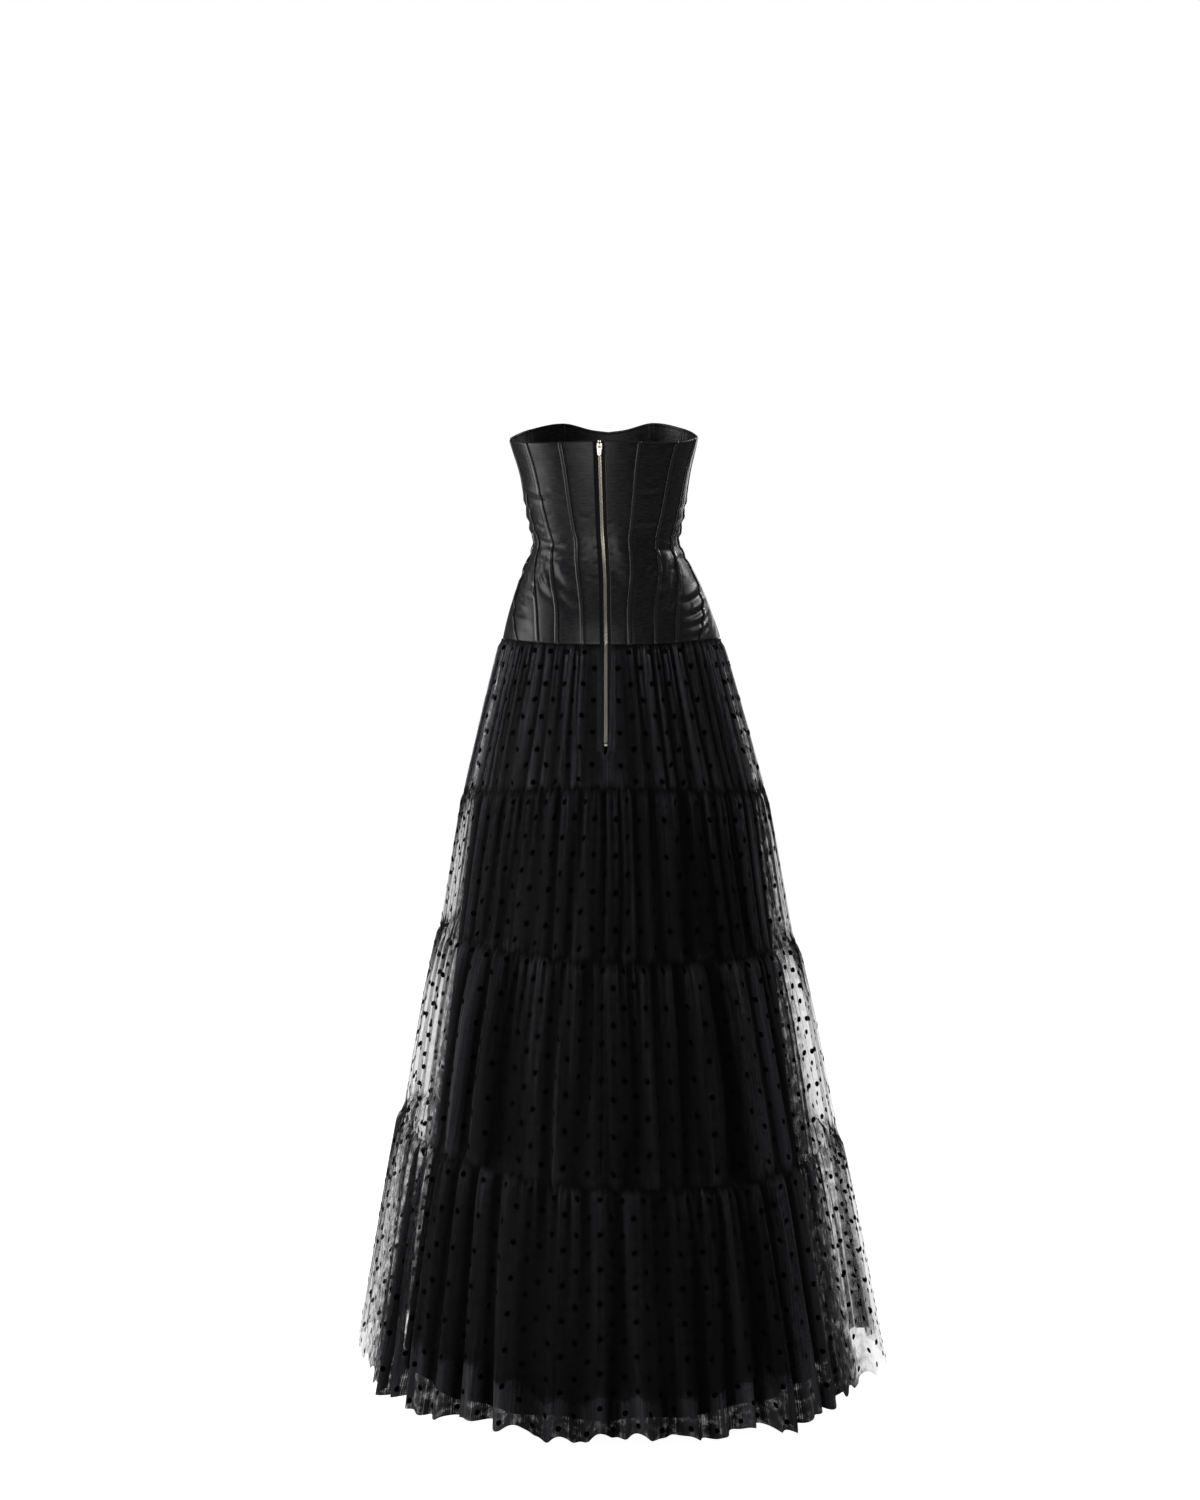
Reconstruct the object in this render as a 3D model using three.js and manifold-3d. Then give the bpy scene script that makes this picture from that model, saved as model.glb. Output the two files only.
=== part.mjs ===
// A strapless corset dress: a boned satin bodice with a basque below the waist, an exposed metal
// zip at the centre back, four gathered tiers of dotted tulle and a plain underskirt.
// Millimetres, +Z up. The wearer faces -Y, so +Y is the back and +X is the wearer's left.
// The origin is the middle of the waist, where the dress grips its wearer.
import * as THREE from 'three';
import { mergeVertices } from 'three/addons/utils/BufferGeometryUtils.js';
import Module from 'manifold-3d';

const wasm = await Module();
wasm.setup();

// Cloth
const SATIN_WALL = 1.5;
const NET_WALL = 1.4;
const LINING_WALL = 1.2;
const SEAM_GAP = 0.3;

// The bodice as rings round the body. half is the half width, back and front are the depths behind
// and before the side seams, and shift is how far the ring's middle lies to the wearer's left.
const BODY = [
  { z: -143, half: 159, back: 117, front: 106, shift: -7 },
  { z: -115, half: 152, back: 110, front: 102, shift: -6 },
  { z: -86, half: 143, back: 100, front: 97, shift: -5 },
  { z: -56, half: 131.5, back: 90, front: 92, shift: -4 },
  { z: -27, half: 117.5, back: 82, front: 87, shift: -2 },
  { z: 0, half: 105, back: 78, front: 84, shift: 0 },
  { z: 17, half: 108, back: 79, front: 86, shift: 1 },
  { z: 60, half: 116, back: 86, front: 97, shift: 2 },
  { z: 105, half: 124, back: 92, front: 109, shift: 3 },
  { z: 150, half: 136, back: 95, front: 112, shift: 4 },
  { z: 190, half: 142, back: 96, front: 108, shift: 4 },
];
const CUP = { turn: 150, spread: 21, z: 116, height: 44, depth: 11 };

// The height of the bodice's top edge, round from the centre back at 0 to the centre front at 180.
const TOP_EDGE = [
  { turn: 0, z: 143 },
  { turn: 30, z: 141 },
  { turn: 56, z: 143.5 },
  { turn: 78, z: 150 },
  { turn: 100, z: 157 },
  { turn: 126, z: 171 },
  { turn: 152, z: 182 },
  { turn: 170, z: 173 },
  { turn: 180, z: 170 },
];

// Where the bodice's seams run: degrees from the centre back, at four heights.
const BODICE_SEAMS = [
  { name: 'zip', z150: 0, z0: 0, zm90: 0, zm143: 0 },
  { name: 'centre_back', z150: 25.4, z0: 21.4, zm90: 13.6, zm143: 12.1 },
  { name: 'back', z150: 54.4, z0: 45.5, zm90: 29.5, zm143: 26.3 },
  { name: 'side_back', z150: 80, z0: 66, zm90: 45, zm143: 38.5 },
  { name: 'side', z150: 101, z0: 87, zm90: 71, zm143: 55.3 },
  { name: 'side_front', z150: 124, z0: 112, zm90: 102, zm143: 95 },
  { name: 'front', z150: 152, z0: 147, zm90: 145, zm143: 143 },
];
const SEAM_HEIGHTS = [-143, -90, 0, 150];
const PANEL_NAMES = ['centre_back', 'back', 'side_back', 'side', 'side_front', 'front'];

// The rows of every bodice piece: shares of the height of the top edge, then of the basque seam.
const ROWS_ABOVE_WAIST = [1, 0.78, 0.55, 0.33, 0.14, 0];
const ROWS_BELOW_WAIST = [0.19, 0.39, 0.6, 0.8, 1];

// Boning channels
const CHANNEL_HALF = 3.2;
const CHANNEL_EDGE = 0.9;
const CHANNEL_CROWN = 1.7;

// The skirt's level seams, from the basque seam down, and its hem. twice makes a seam dip or rise
// at the front and back together, and lean lifts it on the wearer's left and drops it on the right.
const BASQUE_SEAM = { z: -141.5, twice: -4.5, lean: 0 };
const FIRST_SEAM = { z: -350.5, twice: 7.5, lean: 0 };
const SECOND_SEAM = { z: -570, twice: -5, lean: 11 };
const THIRD_SEAM = { z: -856, twice: -11, lean: 17 };
const HEM = { z: -1185, twice: -2.5, lean: 5 };
const LEVELS = [BASQUE_SEAM, FIRST_SEAM, SECOND_SEAM, THIRD_SEAM, HEM];

// The tulle skirt as rings, before its puffs and folds are added.
const SKIRT = [
  { z: -1193, half: 384, back: 394, front: 374, shift: -18 },
  { z: -858, half: 318, back: 338, front: 314, shift: -15 },
  { z: -568, half: 256, back: 258, front: 234, shift: -13 },
  { z: -350, half: 216, back: 190, front: 168, shift: -12 },
  { z: -143, half: 159, back: 117, front: 106, shift: -7 },
];

// The four tiers of tulle. waves is the gathers all round, sides the flats that make one gather,
// swell how far they stand in and out where they are open, edge how far at the seams, puff how far
// the tier stands out below its own seam, and phase where its unevenness starts, in radians.
const TIERS = [
  { waves: 56, sides: 2, swell: 3.2, edge: 1.4, puff: 2, phase: 0.4 },
  { waves: 48, sides: 4, swell: 5.6, edge: 2.4, puff: 3, phase: 1.9 },
  { waves: 36, sides: 4, swell: 9.5, edge: 3.2, puff: 6, phase: 3.1 },
  { waves: 44, sides: 4, swell: 9.5, edge: 3.6, puff: 5, phase: 4.6 },
];
// How a tier's swell changes round the skirt: by what share, and how often.
const SWELL_CHANGE = { share: 0.2, waves: 5 };
// How the gathers drift round the skirt: by how many radians, how often, and from which phase.
const DRIFTS = [{ far: 0.045, waves: 3, phases: 1 }, { far: 0.02, waves: 7, phases: 2 }];
// The rows of each tier, from its upper seam at 0 to its lower one at 1, with the share of the
// tier's puff that each row has and how far its gathers have opened.
const TIER_ROWS = [
  [{ v: 0, puff: 0, open: 0 }, { v: 0.06, puff: 0.9, open: 0.7 },
    { v: 0.72, puff: 0.6, open: 1 }, { v: 1, puff: 0, open: 0.6 }],
  [{ v: 0, puff: 0, open: 0 }, { v: 0.08, puff: 0.8, open: 0.6 }, { v: 1, puff: 0, open: 0.7 }],
  [{ v: 0, puff: 0, open: 0 }, { v: 0.07, puff: 0.7, open: 0.5 },
    { v: 0.4, puff: 1, open: 1 }, { v: 1, puff: 0, open: 0.7 }],
  [{ v: 0, puff: 0, open: 0 }, { v: 0.06, puff: 0.75, open: 0.5 },
    { v: 0.35, puff: 1, open: 0.9 }, { v: 1, puff: 0, open: 1.1 }],
];

// The skirt's largest folds, which run from the second tier to the hem: where each one lies in
// degrees from the centre back, how wide it is, and how far it stands out at the hem.
const GREAT_FOLDS = [
  { turn: 8, spread: 9, out: 7 },
  { turn: -14, spread: 9, out: -8 },
  { turn: -34, spread: 12, out: 15 },
  { turn: -68, spread: 10, out: -20 },
  { turn: -86, spread: 9, out: 10 },
  { turn: -112, spread: 12, out: 8 },
  { turn: -138, spread: 13, out: -10 },
  { turn: -162, spread: 12, out: 9 },
  { turn: 162, spread: 12, out: 9 },
  { turn: 136, spread: 12, out: -9 },
  { turn: 105, spread: 15, out: 12 },
  { turn: 70, spread: 12, out: -12 },
  { turn: 44, spread: 12, out: 9 },
  { turn: 26, spread: 9, out: -8 },
];

// The underskirt as rings, its soft waves, and the heights of its rows.
const UNDERSKIRT = [
  { z: -1180, half: 305, back: 338, front: 318, shift: -12 },
  { z: -939, half: 270, back: 288, front: 270, shift: -12 },
  { z: -821, half: 252, back: 264, front: 246, shift: -12 },
  { z: -573, half: 226, back: 222, front: 202, shift: -12 },
  { z: -350, half: 201, back: 172, front: 152, shift: -12 },
  { z: -292, half: 187, back: 158, front: 141, shift: -11 },
  { z: -146, half: 155.2, back: 113.2, front: 102.2, shift: -7 },
];
const UNDERSKIRT_WAVES = { waves: 16, sides: 4, swell: 7, phase: 2.2 };
const UNDERSKIRT_ROWS = [0, 0.14, 0.2, 0.42, 0.66, 1];
const UNDERSKIRT_HEM = -1180;
// The underskirt is open behind the zip down to this share of its height.
const UNDERSKIRT_OPENING = 0.15;

// The zip: a chain of teeth between two tapes, a slider with a pull tab, and its stops. The first
// tier's gathers start between the two turns of ZIP_CALM, clear of the tapes.
const ZIP_HALF_OPENING = 7.5;
const ZIP_CALM = [6, 14];
const TAPE_OUTER = 12;
const TAPE_INNER = 2.55;
const TAPE_WALL = 1;
const CHAIN_HALF = 2.25;
const CHAIN_THICK = 2.4;
const ZIP_END = -292;
const CHAIN_TOP = 130;
const CHAIN_END = -282;
// The slider's plates end at the top in two prongs with a cleft between them. half is half their
// height, and SLIDER_TOP gives shares of their width and of their notch. The post joins them.
const SLIDER = { z: 132, half: 6.5, wide: 3.8, narrow: 3, plate: 1.1, notch: 4.2 };
const SLIDER_TOP = { shoulder: 0.86, prong: 0.4, cleft: 0.55 };
const POST = { wide: 2.2, tall: 2, under: 0.6, below: 1.4 };
const BAIL = { up: 1.3, out: 4.7, radius: 0.65, ear: 0.9, tall: 2.2, inner: 1.9, sunk: 0.2 };
const PULL = { long: 12.4, wide: 5.4, neck: 3, thick: 1.2, eye: 1, rim: 1.9, hole: 0.8 };
const PULL_TAPER = { from: 1.4, to: 4.2 };
const STOP = { half: 0.9, tall: 3, low: 139.4 };

// Modelling steps: the sides of a small arc and of the slider's rod, the columns across the front
// panel, how near two points are one, and how far to either side a surface's slope is read.
const ARC_STEPS = 8;
const ROD_SIDES = 12;
const FRONT_COLUMNS = 6;
const SAME_POINT = 1e-4;
const SLOPE_STEP = { turn: 0.5, z: 1 };

const RAD = Math.PI / 180;

const MATERIALS = {
  satin: { color: 0x232325, roughness: 0.42, metalness: 0 },
  channel: { color: 0x2b2b2e, roughness: 0.38, metalness: 0 },
  tulle: { color: 0x161617, roughness: 0.9, metalness: 0 },
  lining: { color: 0x0b0b0c, roughness: 0.8, metalness: 0 },
  tape: { color: 0x0f0e0e, roughness: 0.85, metalness: 0 },
  teeth: { color: 0xcfc9bb, roughness: 0.3, metalness: 0.95 },
  slider: { color: 0xd8d5cc, roughness: 0.25, metalness: 0.95 },
};

const dress = new THREE.Group();

// Reads a column of a table at any place between its rows, as a smooth curve.
function read(table, key, column, at) {
  const rows = table.length;
  const ordered = table[0][key] < table[rows - 1][key] ? table : [...table].reverse();
  const place = THREE.MathUtils.clamp(at, ordered[0][key], ordered[rows - 1][key]);
  let i = 0;
  while (i < rows - 2 && place > ordered[i + 1][key]) i += 1;
  const slope = (j) => {
    const low = ordered[Math.max(j - 1, 0)];
    const high = ordered[Math.min(j + 1, rows - 1)];
    return (high[column] - low[column]) / (high[key] - low[key]);
  };
  const step = ordered[i + 1][key] - ordered[i][key];
  const t = (place - ordered[i][key]) / step;
  const start = ordered[i][column];
  const end = ordered[i + 1][column];
  return start * (1 + 2 * t) * (1 - t) ** 2 + end * t * t * (3 - 2 * t)
    + step * t * (1 - t) * (slope(i) * (1 - t) - slope(i + 1) * t);
}

// Reads the same column in straight stretches, for forms that hang straight between rows.
function readStraight(table, key, column, at) {
  const ordered = table[0][key] < table[table.length - 1][key] ? table : [...table].reverse();
  const place = THREE.MathUtils.clamp(at, ordered[0][key], ordered[ordered.length - 1][key]);
  const i = Math.max(0, ordered.findIndex((row) => row[key] >= place) - 1);
  const t = (place - ordered[i][key]) / (ordered[i + 1][key] - ordered[i][key]);
  return THREE.MathUtils.lerp(ordered[i][column], ordered[i + 1][column], t);
}

function bell(offset, spread) {
  return Math.exp(-((offset / spread) ** 2));
}

// A point on a ring that is wider than it is deep. turn is in degrees from the centre back.
function ringPoint(ring, turn, out, z) {
  const across = Math.sin(turn * RAD);
  const rear = Math.cos(turn * RAD);
  const depth = rear > 0 ? ring.back : ring.front;
  return new THREE.Vector3(ring.shift + (ring.half + out) * across, (depth + out) * rear, z);
}

// How many degrees round the ring a distance in millimetres is.
function degreesFor(distance, ring, turn) {
  const depth = Math.cos(turn * RAD) > 0 ? ring.back : ring.front;
  return distance / Math.hypot(ring.half * Math.cos(turn * RAD), depth * Math.sin(turn * RAD)) / RAD;
}

function ringAt(table, z, how) {
  return {
    half: how(table, 'z', 'half', z),
    back: how(table, 'z', 'back', z),
    front: how(table, 'z', 'front', z),
    shift: how(table, 'z', 'shift', z),
  };
}

function levelHeight(level, turn) {
  return level.z + level.twice * Math.cos(2 * turn * RAD) + level.lean * Math.sin(turn * RAD);
}

function addMesh(name, geometry, material) {
  const mesh = new THREE.Mesh(geometry, new THREE.MeshStandardMaterial(MATERIALS[material]));
  mesh.name = name;
  dress.add(mesh);
  return mesh;
}

function geometryOf(points, faces) {
  const geometry = new THREE.BufferGeometry();
  geometry.setAttribute('position',
    new THREE.Float32BufferAttribute(points.flatMap((p) => [p.x, p.y, p.z]), 3));
  geometry.setIndex(faces);
  geometry.computeVertexNormals();
  return geometry;
}

// A wall of cloth. outer[i][j] holds its outer points, i round to the wearer's left and j downward.
// The inner face lies wall millimetres inside them, with mitred corners, each inner point level
// with its outer one, so that the wall's upper and lower edges are level too. beyond is 1 where the
// first and last columns lie past the wall's ends and only turn its end faces.
function clothWall(given, wall, beyond = 0) {
  const outer = given.slice(beyond, given.length - beyond);
  const columns = outer.length;
  const rows = outer[0].length;
  const inner = outer.map((column, i) => column.map((point, j) => {
    const facing = [];
    for (const [a, b] of [[-1, -1], [-1, 0], [0, -1], [0, 0]]) {
      const [c, r] = [i + beyond + a, j + b];
      if (c >= 0 && r >= 0 && c < given.length - 1 && r < rows - 1) {
        const one = given[c + 1][r + 1].clone().sub(given[c][r]);
        const two = given[c][r + 1].clone().sub(given[c + 1][r]);
        facing.push(one.cross(two).normalize());
      }
    }
    const normal = facing.reduce((sum, n) => sum.add(n), new THREE.Vector3()).normalize();
    const level = new THREE.Vector3(normal.x, normal.y, 0).normalize();
    const mitre = facing.reduce((sum, n) => sum + n.dot(level), 0) / facing.length;
    return point.clone().addScaledVector(level, -wall / mitre);
  }));
  const at = (i, j, face) => (face * columns + i) * rows + j;
  const faces = [];
  const quad = (a, b, c, d) => faces.push(a, b, c, a, c, d);
  for (let i = 0; i < columns - 1; i += 1) {
    for (let j = 0; j < rows - 1; j += 1) {
      quad(at(i, j, 0), at(i + 1, j, 0), at(i + 1, j + 1, 0), at(i, j + 1, 0));
      quad(at(i, j, 1), at(i, j + 1, 1), at(i + 1, j + 1, 1), at(i + 1, j, 1));
    }
    quad(at(i, 0, 0), at(i, 0, 1), at(i + 1, 0, 1), at(i + 1, 0, 0));
    quad(at(i, rows - 1, 1), at(i, rows - 1, 0), at(i + 1, rows - 1, 0), at(i + 1, rows - 1, 1));
  }
  for (let j = 0; j < rows - 1; j += 1) {
    quad(at(0, j, 1), at(0, j, 0), at(0, j + 1, 0), at(0, j + 1, 1));
    const last = columns - 1;
    quad(at(last, j, 0), at(last, j, 1), at(last, j + 1, 1), at(last, j + 1, 0));
  }
  return geometryOf([...outer.flat(), ...inner.flat()], faces);
}

// A bar through closed sections with the same number of points each, ends included. The points of
// a section run anticlockwise as seen from the bar's last section.
function bar(sections) {
  const count = sections[0].length;
  const faces = [];
  for (let s = 0; s < sections.length - 1; s += 1) {
    for (let k = 0; k < count; k += 1) {
      const [a, b] = [s * count + k, s * count + ((k + 1) % count)];
      faces.push(a, b, b + count, a, b + count, a + count);
    }
  }
  const last = (sections.length - 1) * count;
  for (let k = 1; k < count - 1; k += 1) {
    faces.push(0, k + 1, k, last, last + k, last + k + 1);
  }
  return geometryOf(sections.flat(), faces);
}

// The bodice

function bodicePoint(turn, z) {
  const ring = ringAt(BODY, z, read);
  const cup = CUP.depth * bell(Math.abs(turn) - CUP.turn, CUP.spread) * bell(z - CUP.z, CUP.height);
  return ringPoint(ring, turn, cup, z);
}

function bodiceNormal(turn, z) {
  const step = SLOPE_STEP;
  const round = bodicePoint(turn + step.turn, z).sub(bodicePoint(turn - step.turn, z));
  const down = bodicePoint(turn, z - step.z).sub(bodicePoint(turn, z + step.z));
  return round.cross(down).normalize();
}

function seamTurn(seam, z) {
  const table = SEAM_HEIGHTS.map((height) => ({
    z: height,
    turn: seam[`z${height < 0 ? 'm' : ''}${Math.abs(height)}`],
  }));
  return read(table, 'z', 'turn', z);
}

// The heights of a bodice column's rows, from the turns at which it meets the two edges.
function bodiceHeights(topTurn, lowTurn) {
  const top = read(TOP_EDGE, 'turn', 'z', Math.abs(topTurn));
  const low = levelHeight(BASQUE_SEAM, lowTurn);
  const above = ROWS_ABOVE_WAIST.map((share) => share * top);
  return [...above, ...ROWS_BELOW_WAIST.map((share) => share * low)];
}

// A column that stays offset millimetres from a seam, on the side away from the centre back when
// offset is above 0. side is 1 on the wearer's left and -1 on the right.
function seamColumn(seam, side, offset) {
  const turnAt = (z) => {
    const turn = side * seamTurn(seam, z);
    return turn + side * degreesFor(offset, ringAt(BODY, z, read), turn);
  };
  const heights = bodiceHeights(turnAt(BODY[BODY.length - 2].z), turnAt(BODY[0].z));
  return heights.map((z) => ({ turn: turnAt(z), z }));
}

// A column that lies at a share of the way between two others.
function between(columnA, columnB, share) {
  const blend = (row) => THREE.MathUtils.lerp(columnA[row].turn, columnB[row].turn, share);
  const heights = bodiceHeights(blend(0), blend(columnA.length - 1));
  return heights.map((z, row) => ({ turn: blend(row), z }));
}

function bodicePiece(name, columns) {
  const outer = columns.map((column) => column.map(({ turn, z }) => bodicePoint(turn, z)));
  addMesh(name, clothWall(outer, SATIN_WALL), 'satin');
}

function buildPanels() {
  for (const side of [1, -1]) {
    const word = side > 0 ? 'left' : 'right';
    for (let k = 0; k < BODICE_SEAMS.length - 1; k += 1) {
      const rear = BODICE_SEAMS[k];
      const fore = BODICE_SEAMS[k + 1];
      const [edge, next] = k === 0 ? [ZIP_HALF_OPENING, TAPE_OUTER] : [SEAM_GAP / 2, CHANNEL_HALF];
      const near = seamColumn(rear, side, next);
      const far = seamColumn(fore, side, -CHANNEL_HALF);
      const columns = [
        seamColumn(rear, side, edge),
        near,
        between(near, far, 1 / 3),
        between(near, far, 2 / 3),
        far,
        seamColumn(fore, side, -SEAM_GAP / 2),
      ];
      bodicePiece(`panel_${PANEL_NAMES[k]}_${word}`, side > 0 ? columns : columns.reverse());
    }
  }
  const seam = BODICE_SEAMS[BODICE_SEAMS.length - 1];
  const left = seamColumn(seam, 1, CHANNEL_HALF);
  const right = seamColumn(seam, -1, CHANNEL_HALF);
  const short = (turn) => (turn > 180 ? turn - 360 : turn);
  const inside = [];
  for (let n = 1; n < FRONT_COLUMNS; n += 1) {
    const turns = left.map((row, j) => short(
      THREE.MathUtils.lerp(row.turn, right[j].turn + 360, n / FRONT_COLUMNS),
    ));
    const heights = bodiceHeights(turns[0], turns[turns.length - 1]);
    inside.push(heights.map((z, j) => ({ turn: turns[j], z })));
  }
  bodicePiece('panel_centre_front', [
    seamColumn(seam, 1, SEAM_GAP / 2),
    left,
    ...inside,
    right,
    seamColumn(seam, -1, SEAM_GAP / 2),
  ]);
}

// A boning channel lies over a seam, on the panels' own points moved out.
function buildChannels() {
  for (const side of [1, -1]) {
    for (const seam of BODICE_SEAMS.slice(1)) {
      const across = [
        { offset: -CHANNEL_HALF, lift: SEAM_GAP },
        { offset: 0, lift: SEAM_GAP },
        { offset: CHANNEL_HALF, lift: SEAM_GAP },
        { offset: CHANNEL_HALF, lift: CHANNEL_EDGE },
        { offset: 0, lift: CHANNEL_CROWN },
        { offset: -CHANNEL_HALF, lift: CHANNEL_EDGE },
      ];
      const columns = across.map(({ offset, lift }) => seamColumn(seam, side, offset).map(
        ({ turn, z }) => bodicePoint(turn, z).addScaledVector(bodiceNormal(turn, z), lift),
      ));
      const sections = columns[0].map((_, row) => columns.map((column) => column[row]));
      if (side > 0) sections.forEach((section) => section.reverse());
      addMesh(`channel_${seam.name}_${side > 0 ? 'left' : 'right'}`, bar(sections), 'channel');
    }
  }
}

// The skirt

function greatFolds(turn, z) {
  const grown = THREE.MathUtils.clamp((FIRST_SEAM.z - z) / (FIRST_SEAM.z - HEM.z), 0, 1);
  return GREAT_FOLDS.reduce((sum, fold) => {
    const away = ((((turn - fold.turn) % 360) + 540) % 360) - 180;
    return sum + fold.out * grown * bell(away, fold.spread);
  }, 0);
}

// Gathers are uneven: this moves them round the skirt and leaves the side seams in place.
function uneven(turn, phase) {
  const u = turn * RAD;
  const drift = DRIFTS.reduce(
    (sum, { far, waves, phases }) => sum + far * Math.cos(waves * u + phases * phase),
    0,
  );
  return turn + (Math.sin(2 * u) * drift) / RAD;
}

// A gather's outline across its length, flat on its crests and in its valleys.
function gather(turn, waves) {
  return THREE.MathUtils.clamp(Math.SQRT2 * Math.cos(waves * turn * RAD), -1, 1);
}

// The places of a piece's columns round the skirt, with its own two ends and one past each end.
function gatherTurns(from, to, { waves, sides }) {
  const step = 360 / (waves * sides);
  const first = sides === 4 ? 0.5 : 0;
  const turns = [];
  for (let k = Math.round(from / step) + 1 - first; k * step < to - step / 4; k += 1) {
    turns.push(k * step);
  }
  return [2 * from - turns[0], from, ...turns, to, 2 * to - turns[turns.length - 1]];
}

// A piece of the skirt between two turns. rows give each row's height, ring, and outward push.
function skirtPiece(name, from, to, gathers, rows, wall, material) {
  const turns = gatherTurns(from, to, gathers);
  const outer = turns.map((place) => rows.map((row) => {
    const share = (uneven(place, gathers.phase) - from) / (to - from);
    const rough = THREE.MathUtils.lerp(from, to, share);
    const ring = row.ring(row.height(rough));
    const gapFrom = from === 0 ? row.opening : SEAM_GAP / 2;
    const gapTo = to === 0 ? row.opening : SEAM_GAP / 2;
    const turn = THREE.MathUtils.lerp(
      from + degreesFor(gapFrom, ring, from),
      to - degreesFor(gapTo, ring, to),
      share,
    );
    const z = row.height(turn);
    const out = row.push(turn, z) + row.swell(turn) * gather(place, gathers.waves);
    return ringPoint(row.ring(z), turn, out, z);
  }));
  addMesh(name, clothWall(outer, wall, 1), material);
}

function tierRows(index) {
  const tier = TIERS[index];
  const upper = LEVELS[index];
  const lower = LEVELS[index + 1];
  const upperGap = index === 0 ? SEAM_GAP : SEAM_GAP / 2;
  const lowerGap = index === TIERS.length - 1 ? 0 : SEAM_GAP / 2;
  return TIER_ROWS[index].map((row) => ({
    height: (turn) => THREE.MathUtils.lerp(
      levelHeight(upper, turn) - upperGap,
      levelHeight(lower, turn) + lowerGap,
      row.v,
    ),
    ring: (z) => ringAt(SKIRT, z, readStraight),
    push: (turn, z) => tier.puff * row.puff + greatFolds(turn, z),
    swell: (turn) => {
      const calm = index === 0 ? THREE.MathUtils.smoothstep(Math.abs(turn), ...ZIP_CALM) : 1;
      const wave = Math.sin(SWELL_CHANGE.waves * turn * RAD + tier.phase);
      const grown = 1 - SWELL_CHANGE.share * (1 - wave);
      return calm * THREE.MathUtils.lerp(tier.edge, tier.swell * grown, row.open);
    },
    opening: row.v < 1 ? ZIP_HALF_OPENING : SEAM_GAP / 2,
  }));
}

function buildTiers() {
  TIERS.forEach((tier, index) => {
    const label = `tulle_tier_${index + 1}`;
    const rows = tierRows(index);
    if (index === 0) {
      skirtPiece(`${label}_back_left`, 0, 90, tier, rows, NET_WALL, 'tulle');
      skirtPiece(`${label}_back_right`, -90, 0, tier, rows, NET_WALL, 'tulle');
    } else {
      skirtPiece(`${label}_back`, -90, 90, tier, rows, NET_WALL, 'tulle');
    }
    skirtPiece(`${label}_front`, 90, 270, tier, rows, NET_WALL, 'tulle');
  });
}

function buildUnderskirt() {
  const rows = UNDERSKIRT_ROWS.map((v) => ({
    height: (turn) => THREE.MathUtils.lerp(
      levelHeight(BASQUE_SEAM, turn) - SEAM_GAP,
      UNDERSKIRT_HEM,
      v,
    ),
    ring: (z) => ringAt(UNDERSKIRT, z, readStraight),
    push: () => 0,
    swell: () => UNDERSKIRT_WAVES.swell * v,
    opening: v < UNDERSKIRT_OPENING ? ZIP_HALF_OPENING : SEAM_GAP / 2,
  }));
  const pieces = [
    { name: 'underskirt_back_left', from: 0, to: 90 },
    { name: 'underskirt_back_right', from: -90, to: 0 },
    { name: 'underskirt_front', from: 90, to: 270 },
  ];
  for (const { name, from, to } of pieces) {
    skirtPiece(name, from, to, UNDERSKIRT_WAVES, rows, LINING_WALL, 'lining');
  }
}

// The zip

// The cloth's outer face along the centre back, with its outward and downward directions. The
// rows are those of the panels and of the first tier, so that the zip follows their own facets.
function backPath() {
  const places = bodiceHeights(0, 0).map((z) => bodicePoint(0, z));
  for (const row of tierRows(0).slice(1, 3)) {
    const z = row.height(0);
    places.push(ringPoint(row.ring(z), 0, row.push(0, z), z));
  }
  return places;
}

// A point at a height on the centre back, with the direction out of the cloth.
function onBack(z) {
  const places = backPath();
  let i = 0;
  while (i < places.length - 2 && z < places[i + 1].z) i += 1;
  const along = places[i + 1].clone().sub(places[i]);
  const point = places[i].clone().addScaledVector(along, (z - places[i].z) / along.z);
  const out = new THREE.Vector3(0, -along.z, along.y).normalize();
  return { point, out };
}

// The middle of the tapes' thickness lies this far inside the satin's outer face.
const TAPE_DEPTH = SATIN_WALL + SEAM_GAP + TAPE_WALL / 2;

function buildTapes() {
  const heights = backPath().map((place) => place.z);
  heights[heights.length - 1] = ZIP_END;
  for (const side of [1, -1]) {
    const columns = [TAPE_INNER, ZIP_HALF_OPENING, TAPE_OUTER].map((offset) => heights.map((z) => {
      const { point, out } = onBack(z);
      const ring = z > BASQUE_SEAM.z ? ringAt(BODY, z, read) : ringAt(SKIRT, z, readStraight);
      const fall = ring.back * (1 - Math.sqrt(1 - (offset / ring.half) ** 2));
      point.x += side * offset;
      point.y -= fall;
      return point.addScaledVector(out, TAPE_WALL / 2 - TAPE_DEPTH);
    }));
    if (side < 0) columns.reverse();
    addMesh(`zip_tape_${side > 0 ? 'left' : 'right'}`, clothWall(columns, TAPE_WALL), 'tape');
  }
}

// A block that follows the centre back between two heights.
function backBlock(name, heights, left, right) {
  const outward = CHAIN_THICK / 2;
  const inward = -outward;
  const sections = heights.map((z) => {
    const { point, out } = onBack(z);
    const corner = (x, y) => point.clone()
      .addScaledVector(out, y - TAPE_DEPTH)
      .add(new THREE.Vector3(x, 0, 0));
    return [
      corner(left, outward),
      corner(right, outward),
      corner(right, inward),
      corner(left, inward),
    ];
  });
  addMesh(name, bar(sections), 'teeth');
}

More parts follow.
